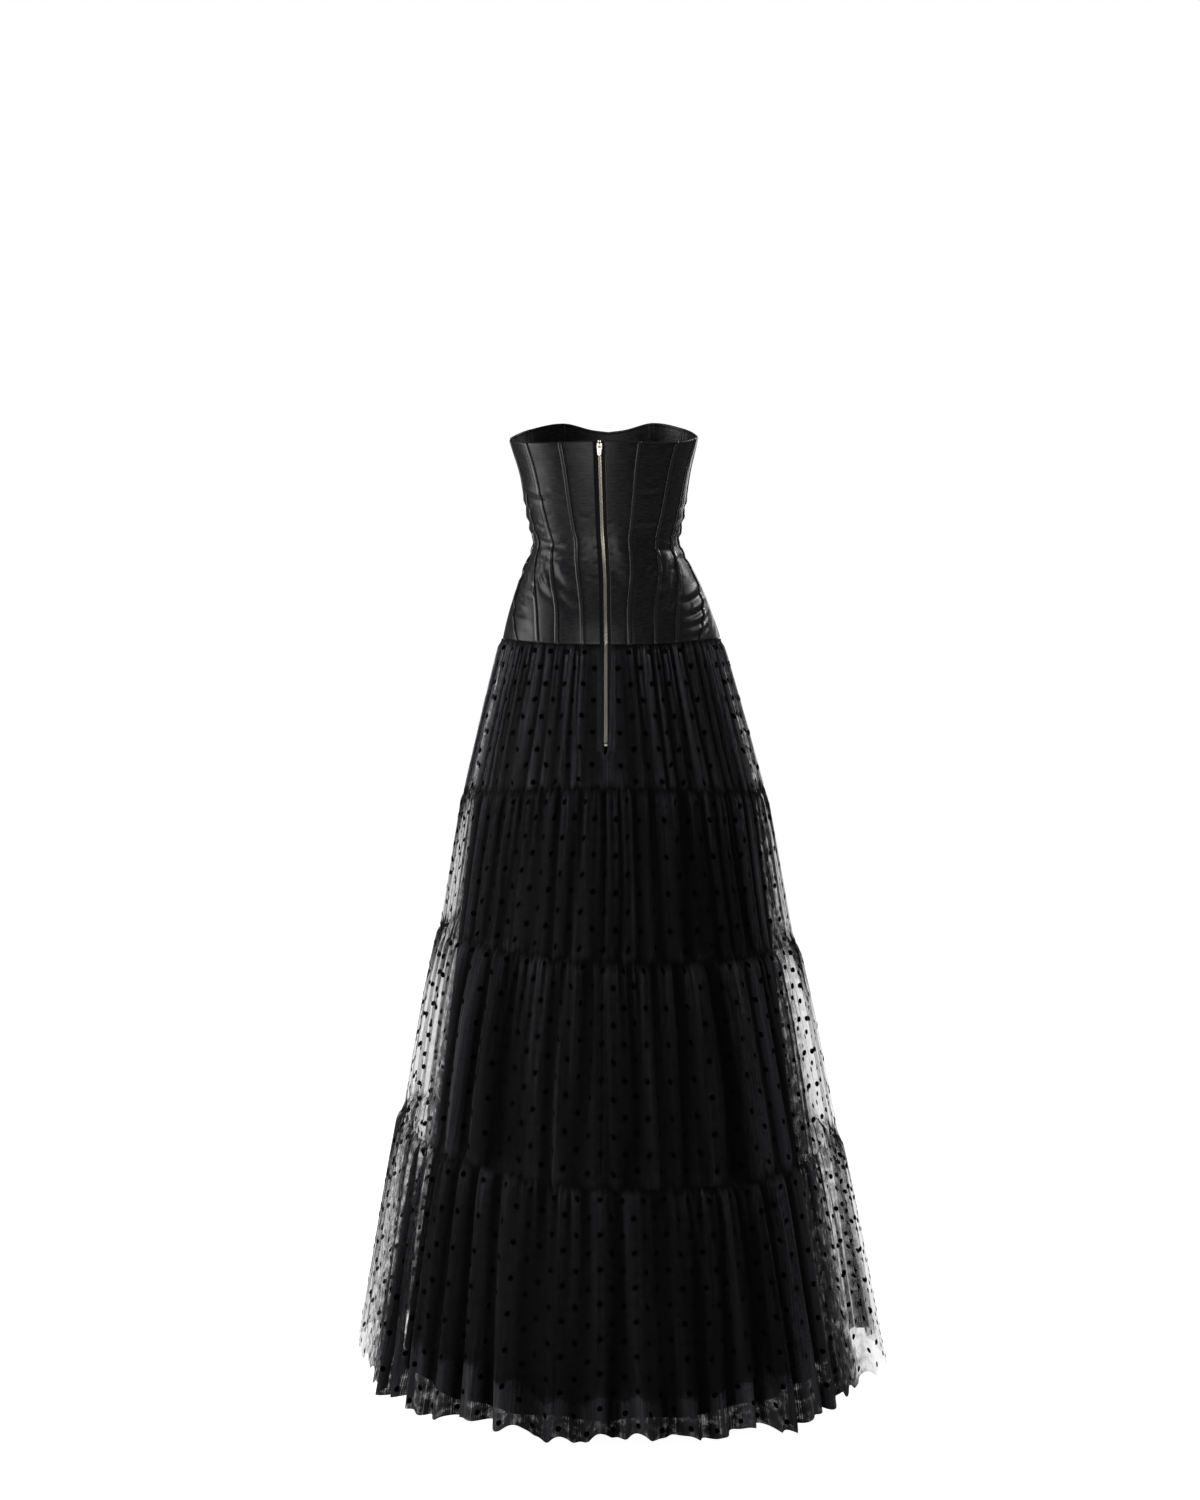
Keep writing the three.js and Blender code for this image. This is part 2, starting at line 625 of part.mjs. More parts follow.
function buildChainAndStops() {
  const inner = backPath().map((place) => place.z).filter((z) => z < CHAIN_TOP && z > CHAIN_END);
  backBlock('zip_chain', [CHAIN_TOP, ...inner, CHAIN_END], -CHAIN_HALF, CHAIN_HALF);
  const below = CHAIN_END - SEAM_GAP;
  backBlock('zip_bottom_stop', [below, below - STOP.tall], -CHAIN_HALF, CHAIN_HALF);
  const stops = [STOP.low + STOP.tall, STOP.low];
  backBlock('zip_top_stop_left', stops, CHAIN_HALF - 2 * STOP.half, CHAIN_HALF);
  backBlock('zip_top_stop_right', stops, -CHAIN_HALF, 2 * STOP.half - CHAIN_HALF);
}

function solidOf(geometry) {
  const bare = geometry.clone();
  bare.deleteAttribute('normal');
  bare.deleteAttribute('uv');
  const merged = mergeVertices(bare, SAME_POINT);
  return new wasm.Manifold(new wasm.Mesh({
    numProp: 3,
    vertProperties: new Float32Array(merged.attributes.position.array),
    triVerts: new Uint32Array(merged.index.array),
  }));
}

function geometryFrom(solid) {
  const mesh = solid.getMesh();
  const geometry = new THREE.BufferGeometry();
  geometry.setAttribute('position', new THREE.BufferAttribute(mesh.vertProperties, 3));
  geometry.setIndex(new THREE.BufferAttribute(mesh.triVerts, 1));
  geometry.computeVertexNormals();
  return geometry;
}

function joined(geometries) {
  return geometryFrom(geometries.map(solidOf).reduce((all, one) => all.add(one)));
}

function extruded(shape, depth) {
  const settings = { depth, bevelEnabled: false, curveSegments: ARC_STEPS };
  return new THREE.ExtrudeGeometry(shape, settings);
}

// An outline in the plane of the zip, x across and y up it, made thick along the outward direction.
function flatPiece(shape, thick, from) {
  const geometry = extruded(shape, thick);
  geometry.rotateX(Math.PI / 2);
  geometry.translate(0, from + thick, 0);
  return geometry;
}

function block(size, centre) {
  return new THREE.BoxGeometry(...size).translate(...centre);
}

function rod(radius, length, centre) {
  const geometry = new THREE.CylinderGeometry(radius, radius, length, ROD_SIDES);
  return geometry.rotateZ(Math.PI / 2).translate(...centre);
}

// The slider holds the chain between two plates joined by a post at its fork. Its local axes are
// x across the zip, y out of the cloth and z up.
function sliderGeometry() {
  const { half, wide, narrow, plate, notch } = SLIDER;
  const { shoulder, prong, cleft } = SLIDER_TOP;
  const outline = new THREE.Shape();
  outline.moveTo(-narrow, -half);
  outline.lineTo(narrow, -half);
  outline.lineTo(wide, half - notch);
  outline.lineTo(wide * shoulder, half);
  outline.lineTo(wide * prong, half);
  outline.lineTo(0, half - notch * cleft);
  outline.lineTo(-wide * prong, half);
  outline.lineTo(-wide * shoulder, half);
  outline.lineTo(-wide, half - notch);
  outline.closePath();
  const gap = CHAIN_THICK / 2 + SEAM_GAP;
  const outside = gap + plate;
  const postHeight = half - notch * POST.under - POST.below;
  const earFrom = outside - BAIL.sunk;
  const earTo = BAIL.out + BAIL.radius;
  const ears = [1, -1].map((side) => block(
    [BAIL.ear, earTo - earFrom, BAIL.tall],
    [side * (BAIL.inner + BAIL.ear / 2), (earTo + earFrom) / 2, BAIL.up],
  ));
  return joined([
    flatPiece(outline, plate, gap),
    flatPiece(outline, plate, -outside),
    block([POST.wide, 2 * gap + plate, POST.tall], [0, 0, postHeight]),
    ...ears,
    rod(BAIL.radius, 2 * BAIL.inner + BAIL.ear, [0, BAIL.out, BAIL.up]),
  ]);
}

// The pull tab hangs plumb from the slider's rod by its eye. It is made about the rod's own axis.
function pullGeometry() {
  const { long, wide, neck, thick, eye, rim, hole } = PULL;
  const ring = new THREE.Shape().absarc(0, 0, rim, 0, 2 * Math.PI);
  ring.holes.push(new THREE.Path().absarc(0, 0, eye, 0, 2 * Math.PI));
  const eyelet = extruded(ring, neck);
  eyelet.rotateY(Math.PI / 2).translate(-neck / 2, 0, 0);
  const tab = new THREE.Shape();
  const low = -long + wide / 2;
  tab.moveTo(neck / 2, -PULL_TAPER.from);
  tab.lineTo(-neck / 2, -PULL_TAPER.from);
  tab.lineTo(-wide / 2, -PULL_TAPER.to);
  tab.lineTo(-wide / 2, low);
  tab.absarc(0, low, wide / 2, Math.PI, 2 * Math.PI);
  tab.lineTo(wide / 2, -PULL_TAPER.to);
  tab.closePath();
  tab.holes.push(new THREE.Path().absarc(0, low, hole, 0, 2 * Math.PI));
  return joined([eyelet, flatPiece(tab, thick, -thick / 2)]);
}

function buildSlider() {
  const { point, out } = onBack(SLIDER.z);
  const tilt = Math.atan2(out.z, out.y);
  const seat = point.addScaledVector(out, -TAPE_DEPTH);
  const slider = addMesh('zip_slider', sliderGeometry(), 'slider');
  const pull = addMesh('pull_tab', pullGeometry(), 'slider');
  slider.position.copy(seat);
  slider.rotation.x = tilt;
  pull.position.set(0, BAIL.out, BAIL.up).applyEuler(slider.rotation).add(seat);
}

buildPanels();
buildChannels();
buildTapes();
buildChainAndStops();
buildSlider();
buildTiers();
buildUnderskirt();

export default dress;
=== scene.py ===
import math

import bmesh
import bpy
import numpy as np
from mathutils import Matrix, Vector


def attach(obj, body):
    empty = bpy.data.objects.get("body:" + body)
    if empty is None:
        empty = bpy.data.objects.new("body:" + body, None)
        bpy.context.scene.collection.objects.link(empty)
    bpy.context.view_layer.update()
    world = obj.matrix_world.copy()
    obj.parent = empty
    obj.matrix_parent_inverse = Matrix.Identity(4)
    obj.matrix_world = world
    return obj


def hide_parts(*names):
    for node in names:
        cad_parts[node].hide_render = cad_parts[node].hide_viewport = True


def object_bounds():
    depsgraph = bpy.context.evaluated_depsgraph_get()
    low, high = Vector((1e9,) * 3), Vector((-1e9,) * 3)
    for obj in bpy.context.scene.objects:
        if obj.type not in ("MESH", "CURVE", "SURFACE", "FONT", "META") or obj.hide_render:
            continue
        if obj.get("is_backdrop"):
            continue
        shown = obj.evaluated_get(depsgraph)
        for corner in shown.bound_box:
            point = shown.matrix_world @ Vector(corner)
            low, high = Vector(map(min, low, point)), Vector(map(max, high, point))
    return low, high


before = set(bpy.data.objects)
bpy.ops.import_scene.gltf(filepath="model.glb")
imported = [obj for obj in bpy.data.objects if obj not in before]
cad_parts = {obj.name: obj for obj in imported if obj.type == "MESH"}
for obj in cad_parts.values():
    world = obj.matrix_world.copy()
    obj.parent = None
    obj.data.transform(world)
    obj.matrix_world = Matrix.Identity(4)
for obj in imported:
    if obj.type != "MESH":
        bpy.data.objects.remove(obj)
cad_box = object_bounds()


# The satin panels of the bodice
# Thirteen panels of heavy black duchess satin, each backed with firm cotton. They are sewn edge to
# edge and pulled tight by the bones, so that the cloth creases across the waist and drags at the
# hips. Sizes are millimetres and cuts are metres. Left is the dress's own left, +X, the back is +Y,
# and turns are degrees from the centre back to the left.

# height, half width, depth behind and in front of the side seams, shift to the left
BODY = np.array([
    (-143, 159, 117, 106, -7), (-115, 152, 110, 102, -6), (-86, 143, 100, 97, -5),
    (-56, 131.5, 90, 92, -4), (-27, 117.5, 82, 87, -2), (0, 105, 78, 84, 0),
    (17, 108, 79, 86, 1), (60, 116, 86, 97, 2), (105, 124, 92, 109, 3),
    (150, 136, 95, 112, 4), (190, 142, 96, 108, 4),
])
CUP = {"turn": 150, "spread": 21, "z": 116, "height": 44, "depth": 11}
# turn, height of the top edge
TOP_EDGE = np.array([
    (0, 143), (30, 141), (56, 143.5), (78, 150), (100, 157), (126, 171), (152, 182), (170, 173),
    (180, 170),
])
BASQUE_SEAM = -143
# the turns of each seam at these heights
SEAM_HEIGHTS = (BASQUE_SEAM, -90, 0, 150)
SEAMS = {
    "zip": (0, 0, 0, 0),
    "centre_back": (12.1, 13.6, 21.4, 25.4),
    "back": (26.3, 29.5, 45.5, 54.4),
    "side_back": (38.5, 45, 66, 80),
    "side": (55.3, 71, 87, 101),
    "side_front": (95, 102, 112, 124),
    "front": (143, 145, 147, 152),
}
PANELS = ("centre_back", "back", "side_back", "side", "side_front", "front")
SIDES = ((1, "left"), (-1, "right"))
# the skirt's level seams and its hem: height, dip at front and back together, lean to the left
LEVELS = ((-141.5, -4.5, 0), (-350.5, 7.5, 0), (-570, -5, 11), (-856, -11, 17), (-1185, -2.5, 5))
ZIP_HALF_OPENING = 7.5
SEAM_GAP = 0.15
SATIN_THICK = 1.2
SATIN_MESH = 2.5
TOP_ROLL = {"tall": 2.5, "deep": 0.9}
CHANNEL_HALF = 3.2
PRESSED_IN = {"deep": 0.4, "wide": 2.4}

# turn and height of a crease's two ends, its width and its depth
CREASES = [
    (82, 80, 42, 58, 4.5, 1.5), (43, 68, 25, 61, 3.5, 1.0), (64, 5, 28, -6, 5, 1.3),
    (58, -14, 30, -24, 4, 0.8), (40, -30, 18, -77, 6, 1.3), (32, -66, 16, -101, 6, 1.1),
    (52, -48, 30, -84, 5, 1.2), (104, 64, 64, 47, 4, 1.4), (106, 40, 62, 27, 4.5, 1.6),
    (102, 20, 60, 13, 4, 1.2), (106, -10, 66, -16, 4.5, 1.6), (98, -34, 62, -52, 5, 1.3),
    (84, -80, 48, -104, 5.5, 1.4), (78, -104, 42, -124, 5, 1.0), (20, 40, 6, 34, 4, 0.6),
    (-30, -4, -70, -9, 5, 1.6), (-30, -68, -60, -24, 6.5, 1.9), (-29, -90, -52, -52, 6, 1.5),
    (-44, -88, -84, -60, 4.5, 1.9), (-45, -108, -86, -76, 4, 2.1), (-44, -124, -82, -94, 4, 1.7),
    (-46, -138, -72, -116, 4, 1.2), (-62, 119, -88, 101, 2.4, 0.8), (-62, 46, -106, 62, 4, 1.3),
    (-60, 24, -104, 38, 4.5, 1.5), (-62, 8, -102, 16, 4, 1.1), (-64, -22, -104, -14, 4.5, 1.5),
    (-2, 34, -10, -74, 13, 1.0), (-26, 66, -46, 74, 3.5, 0.9), (-24, 20, -50, 26, 3.5, 0.8),
    (148, 4, 112, -2, 5, 1.5), (146, -18, 116, -30, 4.5, 1.2), (142, -66, 118, -34, 6, 1.5),
    (140, -100, 110, -84, 5, 1.2), (126, 74, 152, 62, 4.5, 1.1), (122, 40, 148, 34, 4, 0.9),
    (-112, -4, -148, 2, 5, 1.5), (-116, -28, -146, -20, 4.5, 1.2), (-118, -36, -143, -64, 6, 1.5),
    (-110, -80, -140, -102, 5, 1.2), (-152, 64, -126, 72, 4.5, 1.1), (-150, 36, -122, 42, 4, 0.9),
    (176, -4, 154, 3, 4, 0.7), (-160, -16, -176, -12, 4, 0.6),
]
# the puckers where a seam is pulled in at the waist: height, depth
PUCKERS = ((52, 0.15), (39, 0.24), (28, 0.3), (17, 0.36), (7, 0.45), (-4, 0.42), (-14, 0.45),
           (-25, 0.36), (-37, 0.3), (-50, 0.21), (-64, 0.15))
PUCKER = {"turns": 9, "lean": 5, "wide": 2.6}
# the fine drag lines round the waist: from the turn and height where each field of them starts to
# where it ends, how many, and how far each line falls over its own length
DRAGS = (
    ((36, -8), (84, -84), 34, -22), ((88, 60), (52, 4), 12, -7), ((-32, -14), (-52, -92), 14, 24),
    ((-54, -70), (-84, -124), 8, 16), ((-56, 70), (-90, 4), 12, 8), ((118, 12), (140, -70), 16, 8),
    ((-118, 12), (-140, -70), 16, 8), ((150, 10), (210, -60), 14, 3),
)
# a drag line's least turns, share of the fall, width and depth, and how much more each may be
DRAG = {"long": (5, 7), "fall": (0.5, 0.7), "wide": (1.9, 1.2), "deep": (0.35, 0.4)}
for number, (name, turns) in enumerate(SEAMS.items()):
    for step, (height, depth) in enumerate(PUCKERS):
        for side in (1, -1):
            at = side * float(np.interp(height, SEAM_HEIGHTS, turns))
            lean = PUCKER["lean"] * math.sin(2.3 * step + 1.7 * number + side)
            way = 1 if math.sin(3.1 * step + number) > 0 else -1
            CREASES.append((at, height, at + way * PUCKER["turns"], height + lean, PUCKER["wide"],
                            depth))
chance = np.random.default_rng(11)
for (turn_a, z_a), (turn_b, z_b), count, fall in DRAGS:
    for share in (np.arange(count) + chance.random(count)) / count:
        at = turn_a + (turn_b - turn_a) * chance.random()
        height = z_a + (z_b - z_a) * share
        long, fallen, wide, deep = (least + more * chance.random() for least, more in DRAG.values())
        way = 1 if at < 0 else -1
        CREASES.append((at - way * long / 2, height, at + way * long / 2,
                        height - way * fall * fallen, wide, deep))


def smooth(places, values, at):
    """A smooth curve through a table's values, read at any places within it."""
    places, values = np.asarray(places, float), np.asarray(values, float)
    at = np.clip(at, places[0], places[-1])
    low = np.clip(np.searchsorted(places, at) - 1, 0, len(places) - 2)
    slope = np.empty_like(values)
    slope[1:-1] = (values[2:] - values[:-2]) / (places[2:] - places[:-2])
    slope[0] = (values[1] - values[0]) / (places[1] - places[0])
    slope[-1] = (values[-1] - values[-2]) / (places[-1] - places[-2])
    step = places[low + 1] - places[low]
    t = (at - places[low]) / step
    straight = values[low] * (1 + 2 * t) * (1 - t) ** 2 + values[low + 1] * t * t * (3 - 2 * t)
    return straight + step * t * (1 - t) * (slope[low] * (1 - t) - slope[low + 1] * t)


def bell(offset, spread):
    return np.exp(-((offset / spread) ** 2))


def ramp(share):
    share = np.clip(share, 0, 1)
    return share * share * (3 - 2 * share)


def lerp(start, end, share):
    return start + (end - start) * share


def wrapped(turn):
    return (turn + 180) % 360 - 180


def ring_point(half, back, front, shift, turn, out, z):
    across, rear = np.sin(np.radians(turn)), np.cos(np.radians(turn))
    depth = np.where(rear > 0, back, front)
    parts = np.broadcast_arrays(shift + (half + out) * across, (depth + out) * rear, z)
    return np.stack(parts, axis=-1)


def degrees_for(distance, z, turn):
    """How many degrees round the bodice a distance in millimetres is."""
    half, back, front = (smooth(BODY[:, 0], BODY[:, k], z) for k in (1, 2, 3))
    across, rear = np.sin(np.radians(turn)), np.cos(np.radians(turn))
    return np.degrees(distance / np.hypot(half * rear, np.where(rear > 0, back, front) * across))


def level(index, turn):
    height, twice, lean = LEVELS[index]
    return height + twice * np.cos(np.radians(2 * turn)) + lean * np.sin(np.radians(turn))


def body_point(turn, z):
    cup = CUP["depth"] * bell(np.abs(wrapped(turn)) - CUP["turn"], CUP["spread"])
    cup = cup * bell(z - CUP["z"], CUP["height"])
    return ring_point(*(smooth(BODY[:, 0], BODY[:, k], z) for k in (1, 2, 3, 4)), turn, cup, z)


def facing(surface, first, second, first_step, second_step):
    """The direction out of a surface whose two parameters run to the left and downward."""
    left = surface(first + first_step, second) - surface(first - first_step, second)
    down = surface(first, second + second_step) - surface(first, second - second_step)
    out = np.cross(left, down)
    return out / np.linalg.norm(out, axis=-1, keepdims=True)


def creasing(turn, z):
    """How far the creases push the satin out, in millimetres."""
    push = np.zeros_like(turn)
    for turn_a, z_a, turn_b, z_b, wide, deep in CREASES:
        per_degree = 1 / degrees_for(1.0, (z_a + z_b) / 2, (turn_a + turn_b) / 2)
        right, up = (turn_b - turn_a) * per_degree, z_b - z_a
        long = math.hypot(right, up)
        x, y = wrapped(turn - turn_a) * per_degree, z - z_a
        along = (x * right + y * up) / long / long
        # it bows a little, fades toward both ends and has a softer ridge beside its trough
        off = (x * up - y * right) / long + 0.05 * long * np.sin(math.pi * along)
        fade = ramp((along + 0.02) / 0.3) * ramp((1.02 - along) / 0.3)
        push += deep * fade * (0.75 * bell(off - 1.7 * wide, 1.2 * wide) - bell(off, wide))
    return push


def satin_surface(turn, z, lift):
    """The outer face of the bodice's satin, lifted by so many millimetres."""
    out = facing(lambda a, b: body_point(a, -b), turn, -z, 0.5, 1.0)
    below = smooth(*TOP_EDGE.T, np.abs(wrapped(turn))) - z
    roll = TOP_ROLL["deep"] * np.clip(1 - below / TOP_ROLL["tall"], 0, 1) ** 2
    return body_point(turn, z) + out * (lift + creasing(turn, z) - roll)[..., None]


def seam_edge(name, side, offset, z):
    """The turn of a line that runs beside a seam, offset millimetres on its far side."""
    turn = side * smooth(SEAM_HEIGHTS, SEAMS[name], z)
    return turn + side * degrees_for(offset, z, turn)


def bodice_height(turn_at, down):
    """The height of points on a column that runs from the bodice's top edge to the basque seam."""
    top = smooth(*TOP_EDGE.T, np.abs(wrapped(turn_at(SEAM_HEIGHTS[-1]))))
    low = level(0, turn_at(BASQUE_SEAM))
    return np.where(down < 0.5, top * (1 - 2 * down), low * (2 * down - 1))


def pressed(name_a, name_b, turn, z):
    """The satin is pulled in a little beside each boning channel."""
    press = 0
    for name in (name_a, name_b):
        seam = smooth(SEAM_HEIGHTS, SEAMS[name], z)
        off = (np.abs(wrapped(turn)) - seam) / degrees_for(1.0, z, turn)
        trough = PRESSED_IN["deep"] * bell(np.abs(off) - CHANNEL_HALF, PRESSED_IN["wide"])
        press = press - trough * (name != "zip")
    return press


def placed(name, data):
    """A new object in the scene."""
    made = bpy.data.objects.new(name, data)
    bpy.context.scene.collection.objects.link(made)
    return made


def cloth(name, columns, rows, place, flat, even=1.0):
    """A sheet of cloth: a flat grid as it was cut, laid where place says. Its across runs to the
    left and its down runs downward, from 0 to 1. flat is the cut's size in metres, which
    its UV map keeps. Where even is over 1, the rows lie closer together near the top."""
    bm = bmesh.new()
    bm.loops.layers.uv.new("cut")
    bmesh.ops.create_grid(bm, x_segments=columns, y_segments=rows, size=0.5, calc_uvs=True)
    mesh = bpy.data.meshes.new(name)
    bm.to_mesh(mesh)
    bm.free()
    flat_places = np.empty(len(mesh.vertices) * 3)
    mesh.vertices.foreach_get("co", flat_places)
    across, down, _ = flat_places.reshape(-1, 3).T + 0.5
    down = np.clip(down, 0, 1) ** even
    mesh.vertices.foreach_set("co", (place(np.clip(across, 0, 1), down) / 1000).ravel())
    corners = np.empty(len(mesh.loops) * 2)
    mesh.uv_layers["cut"].data.foreach_get("uv", corners)
    corners = corners.reshape(-1, 2) ** (1, even) * flat
    mesh.uv_layers["cut"].data.foreach_set("uv", corners.ravel())
    mesh.shade_smooth()
    mesh.update()
    return placed(name, mesh)


def thicken(piece, millimetres, offset=-1.0):
    wall = piece.modifiers.new("cloth thickness", "SOLIDIFY")
    wall.thickness = millimetres / 1000
    wall.offset = offset


def linear(hex_colour):
    """An sRGB hex colour as the linear values that a shader takes."""
    channels = [int(hex_colour[k:k + 2], 16) / 255 for k in (1, 3, 5)]
    curved = [((c + 0.055) / 1.055) ** 2.4 if c > 0.04045 else c / 12.92 for c in channels]
    return curved + [1]


def new_material(name):
    made = bpy.data.materials.new(name)
    made.use_nodes = True
    made.node_tree.nodes.clear()
    return made


def node(material, kind, settings, links={}):
    """Adds a node to a material, sets its properties and sockets, and links its inputs."""
    made = material.node_tree.nodes.new("ShaderNode" + kind)
    for key, value in settings.items():
        if isinstance(key, str) and hasattr(made, key):
            setattr(made, key, value)
        else:
            made.inputs[key].default_value = value
    for key, (source, output) in links.items():
        material.node_tree.links.new(source.outputs[output], made.inputs[key])
    return made


# Duchess satin, woven with long floats: a soft broad gloss, with fine slubs along the weft. The
# threads are 0.1 mm apart, too fine to show, so the slubs are drawn 1.8 mm tall and 16 mm long.
satin = new_material("black duchess satin, woven")
cut = node(satin, "UVMap", {"uv_map": "cut"})
weft = node(satin, "Mapping", {"Scale": (60, 560, 1)}, {"Vector": (cut, "UV")})
slubs = node(satin, "TexNoise", {"noise_dimensions": "2D", "Scale": 1, "Detail": 3, "Roughness": 0.6},
             {"Vector": (weft, "Vector")})
patches = node(satin, "TexNoise", {"noise_dimensions": "2D", "Scale": 55, "Detail": 2},
               {"Vector": (cut, "UV")})
tone = node(satin, "ValToRGB", {}, {"Fac": (slubs, "Fac")})
tone.color_ramp.elements[0].position, tone.color_ramp.elements[1].position = 0.36, 0.64
tone.color_ramp.elements[0].color = linear("#0a0a0c")
tone.color_ramp.elements[1].color = linear("#242428")
gloss = node(satin, "MapRange", {"From Min": 0.3, "From Max": 0.7, "To Min": 0.3, "To Max": 0.4},
             {"Value": (patches, "Fac")})
grain = node(satin, "Bump", {"Strength": 0.5, "Distance": 0.0003}, {"Height": (slubs, "Fac")})
skin = node(satin, "BsdfPrincipled",
            {"Sheen Weight": 0.05, "Sheen Roughness": 0.35, "Sheen Tint": linear("#8b8c92"),
             "IOR": 1.5, "Specular IOR Level": 0.4},
            {"Base Color": (tone, "Color"), "Roughness": (gloss, "Result"),
             "Normal": (grain, "Normal")})
node(satin, "OutputMaterial", {}, {"Surface": (skin, "BSDF")})


def panel(node_name, edges, side, wide, long, area):
    """One panel between two seams. edges gives each seam's name and the panel's distance from it;
    the panel at the centre front runs from the left front seam to the right one."""
    (rear, rear_gap), (fore, fore_gap) = edges

    def place(across, down):
        share = across if side > 0 else 1 - across

        def turn_at(z):
            far = (360 - seam_edge(fore, 1, fore_gap, z) if rear == fore
                   else seam_edge(fore, side, -fore_gap, z))
            return lerp(seam_edge(rear, side, rear_gap, z), far, share)

        z = bodice_height(turn_at, down)
        turn = turn_at(z)
        return satin_surface(turn, z, pressed(rear, fore, turn, z))

    made = cloth(node_name + "_satin", round(wide * 1000 / SATIN_MESH),
                 round(long * 1000 / SATIN_MESH), place, (wide, long))
    thicken(made, SATIN_THICK)
    made.data.materials.append(satin)
    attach(made, "dress")
    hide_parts(node_name)


# each panel's cut, without seam allowances: greatest width, length and area, in metres
CUTS = {
    "centre_back": (0.052, 0.298, 0.0103), "back": (0.062, 0.304, 0.0133),
    "side_back": (0.049, 0.317, 0.0109), "side": (0.055, 0.328, 0.0119),
    "side_front": (0.084, 0.330, 0.0148), "front": (0.102, 0.342, 0.0227),
    "centre_front": (0.200, 0.342, 0.0471),
}
for side, word in SIDES:
    names = list(SEAMS)
    for rear, fore, name in zip(names, names[1:], PANELS):
        gap = ZIP_HALF_OPENING if rear == "zip" else SEAM_GAP
        panel(f"panel_{name}_{word}", ((rear, gap), (fore, SEAM_GAP)), side, *CUTS[name])
panel("panel_centre_front", (("front", SEAM_GAP), ("front", SEAM_GAP)), 1, *CUTS["centre_front"])


# The boning channels
# A narrow strip of the same satin over every seam but the zip's, with a flat spiral bone inside. It
# is stitched down along both edges and at both ends, so that it stands up as a slim bright ridge.

CHANNEL_LIFT = 0.3
CHANNEL_CROWN = 1.5
CHANNEL_CUT = (0.0102, 0.294)
CHANNEL_MESH = (12, 130)
CHANNEL_END = 0.008
# a stitch with the gap after it, in metres
STITCH = 0.0022

# The same satin, pulled over the bone: a stitch line sinks in 4 mm to each side of its middle.
channel_satin = new_material("black duchess satin, stitched over a bone")
cut = node(channel_satin, "UVMap", {"uv_map": "cut"})
parts = node(channel_satin, "SeparateXYZ", {}, {"Vector": (cut, "UV")})
middle = node(channel_satin, "Math", {"operation": "SUBTRACT", 1: CHANNEL_CUT[0] / 2},
              {0: (parts, "X")})
off = node(channel_satin, "Math", {"operation": "ABSOLUTE"}, {0: (middle, 0)})
line = node(channel_satin, "Math", {"operation": "COMPARE", 1: 0.0040, 2: 0.0003}, {0: (off, 0)})
along = node(channel_satin, "Math", {"operation": "PINGPONG", 1: STITCH / 2}, {0: (parts, "Y")})
gap = node(channel_satin, "Math", {"operation": "GREATER_THAN", 1: STITCH * 0.12}, {0: (along, 0)})
thread = node(channel_satin, "Math", {"operation": "MULTIPLY"}, {0: (line, 0), 1: (gap, 0)})
weft = node(channel_satin, "Mapping", {"Scale": (60, 560, 1)}, {"Vector": (cut, "UV")})
slubs = node(channel_satin, "TexNoise", {"noise_dimensions": "2D", "Scale": 1, "Detail": 3},
             {"Vector": (weft, "Vector")})
tone = node(channel_satin, "MixRGB", {"Color1": linear("#0c0c0e"), "Color2": linear("#26262a")},
            {"Fac": (slubs, "Fac")})
dark = node(channel_satin, "MixRGB", {"Color2": linear("#0c0c0d")},
            {"Fac": (thread, 0), "Color1": (tone, "Color")})
sunk = node(channel_satin, "Bump", {"Strength": 0.6, "Distance": 0.0003, "invert": True},
            {"Height": (line, 0)})
skin = node(channel_satin, "BsdfPrincipled",
            {"Roughness": 0.27, "Sheen Weight": 0.05, "Sheen Roughness": 0.35,
             "Sheen Tint": linear("#8b8c92"), "IOR": 1.5, "Specular IOR Level": 0.75},
            {"Base Color": (dark, "Color"), "Normal": (sunk, "Normal")})
node(channel_satin, "OutputMaterial", {}, {"Surface": (skin, "BSDF")})


def channel(name, side, word):
    def place(across, down):
        bend = np.sin(math.pi * (across - 0.5))
        offset = CHANNEL_HALF * bend * side

        def turn_at(z):
            return seam_edge(name, side, offset, z)

        z = bodice_height(turn_at, down)
        ends = ramp(down / CHANNEL_END) * ramp((1 - down) / CHANNEL_END)
        crown = CHANNEL_CROWN * np.sqrt(np.clip(1 - bend ** 4, 0, 1)) * ends
        return satin_surface(turn_at(z), z, CHANNEL_LIFT + crown)

    made = cloth(f"channel_{name}_{word}_satin", *CHANNEL_MESH, place, CHANNEL_CUT)
    made.data.materials.append(channel_satin)
    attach(made, "dress")
    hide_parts(f"channel_{name}_{word}")


for side, word in SIDES:
    for name in list(SEAMS)[1:]:
        channel(name, side, word)


# The zip
# An exposed metal zip at the centre back, from the top edge to halfway down the first tier. Its two
# woven tapes are sewn behind the satin's folded edges, and pale gold-plated teeth clamp onto them.

# height, and how far behind the origin the cloth's outer face lies there
ZIP_LINE = np.array([(-292, 170.7), (-288, 169.3), (-158.1, 124.1), (-146, 117.4), (-130, 114)])
# above this height the zip follows the satin's curve
ZIP_LEAVES_SATIN = -138
TAPE_DEPTH = 2.3
TAPE = {"inner": 1.9, "outer": 12, "top": 141, "end": -292, "thick": 0.8, "flare": 0.27}
TAPE_CUT = (0.0101, 0.438)
TAPE_MESH = (6, 170)
TOOTH = {"pitch": 1.9, "tall": 1.2, "head": 0.8, "thick": 2.3, "thin": 0.86, "outer": 2.25,
         "inner": -0.15, "bevel": 0.22}
CHAIN_TOP, CHAIN_END = 130, -282


def zip_face(z):
    """How far behind the origin the cloth's outer face lies along the centre back."""
    bodice = smooth(BODY[:, 0], BODY[:, 2], z)
    skirt = np.interp(z, ZIP_LINE[:, 0], ZIP_LINE[:, 1])
    return np.where(z > ZIP_LEAVES_SATIN, bodice, skirt)


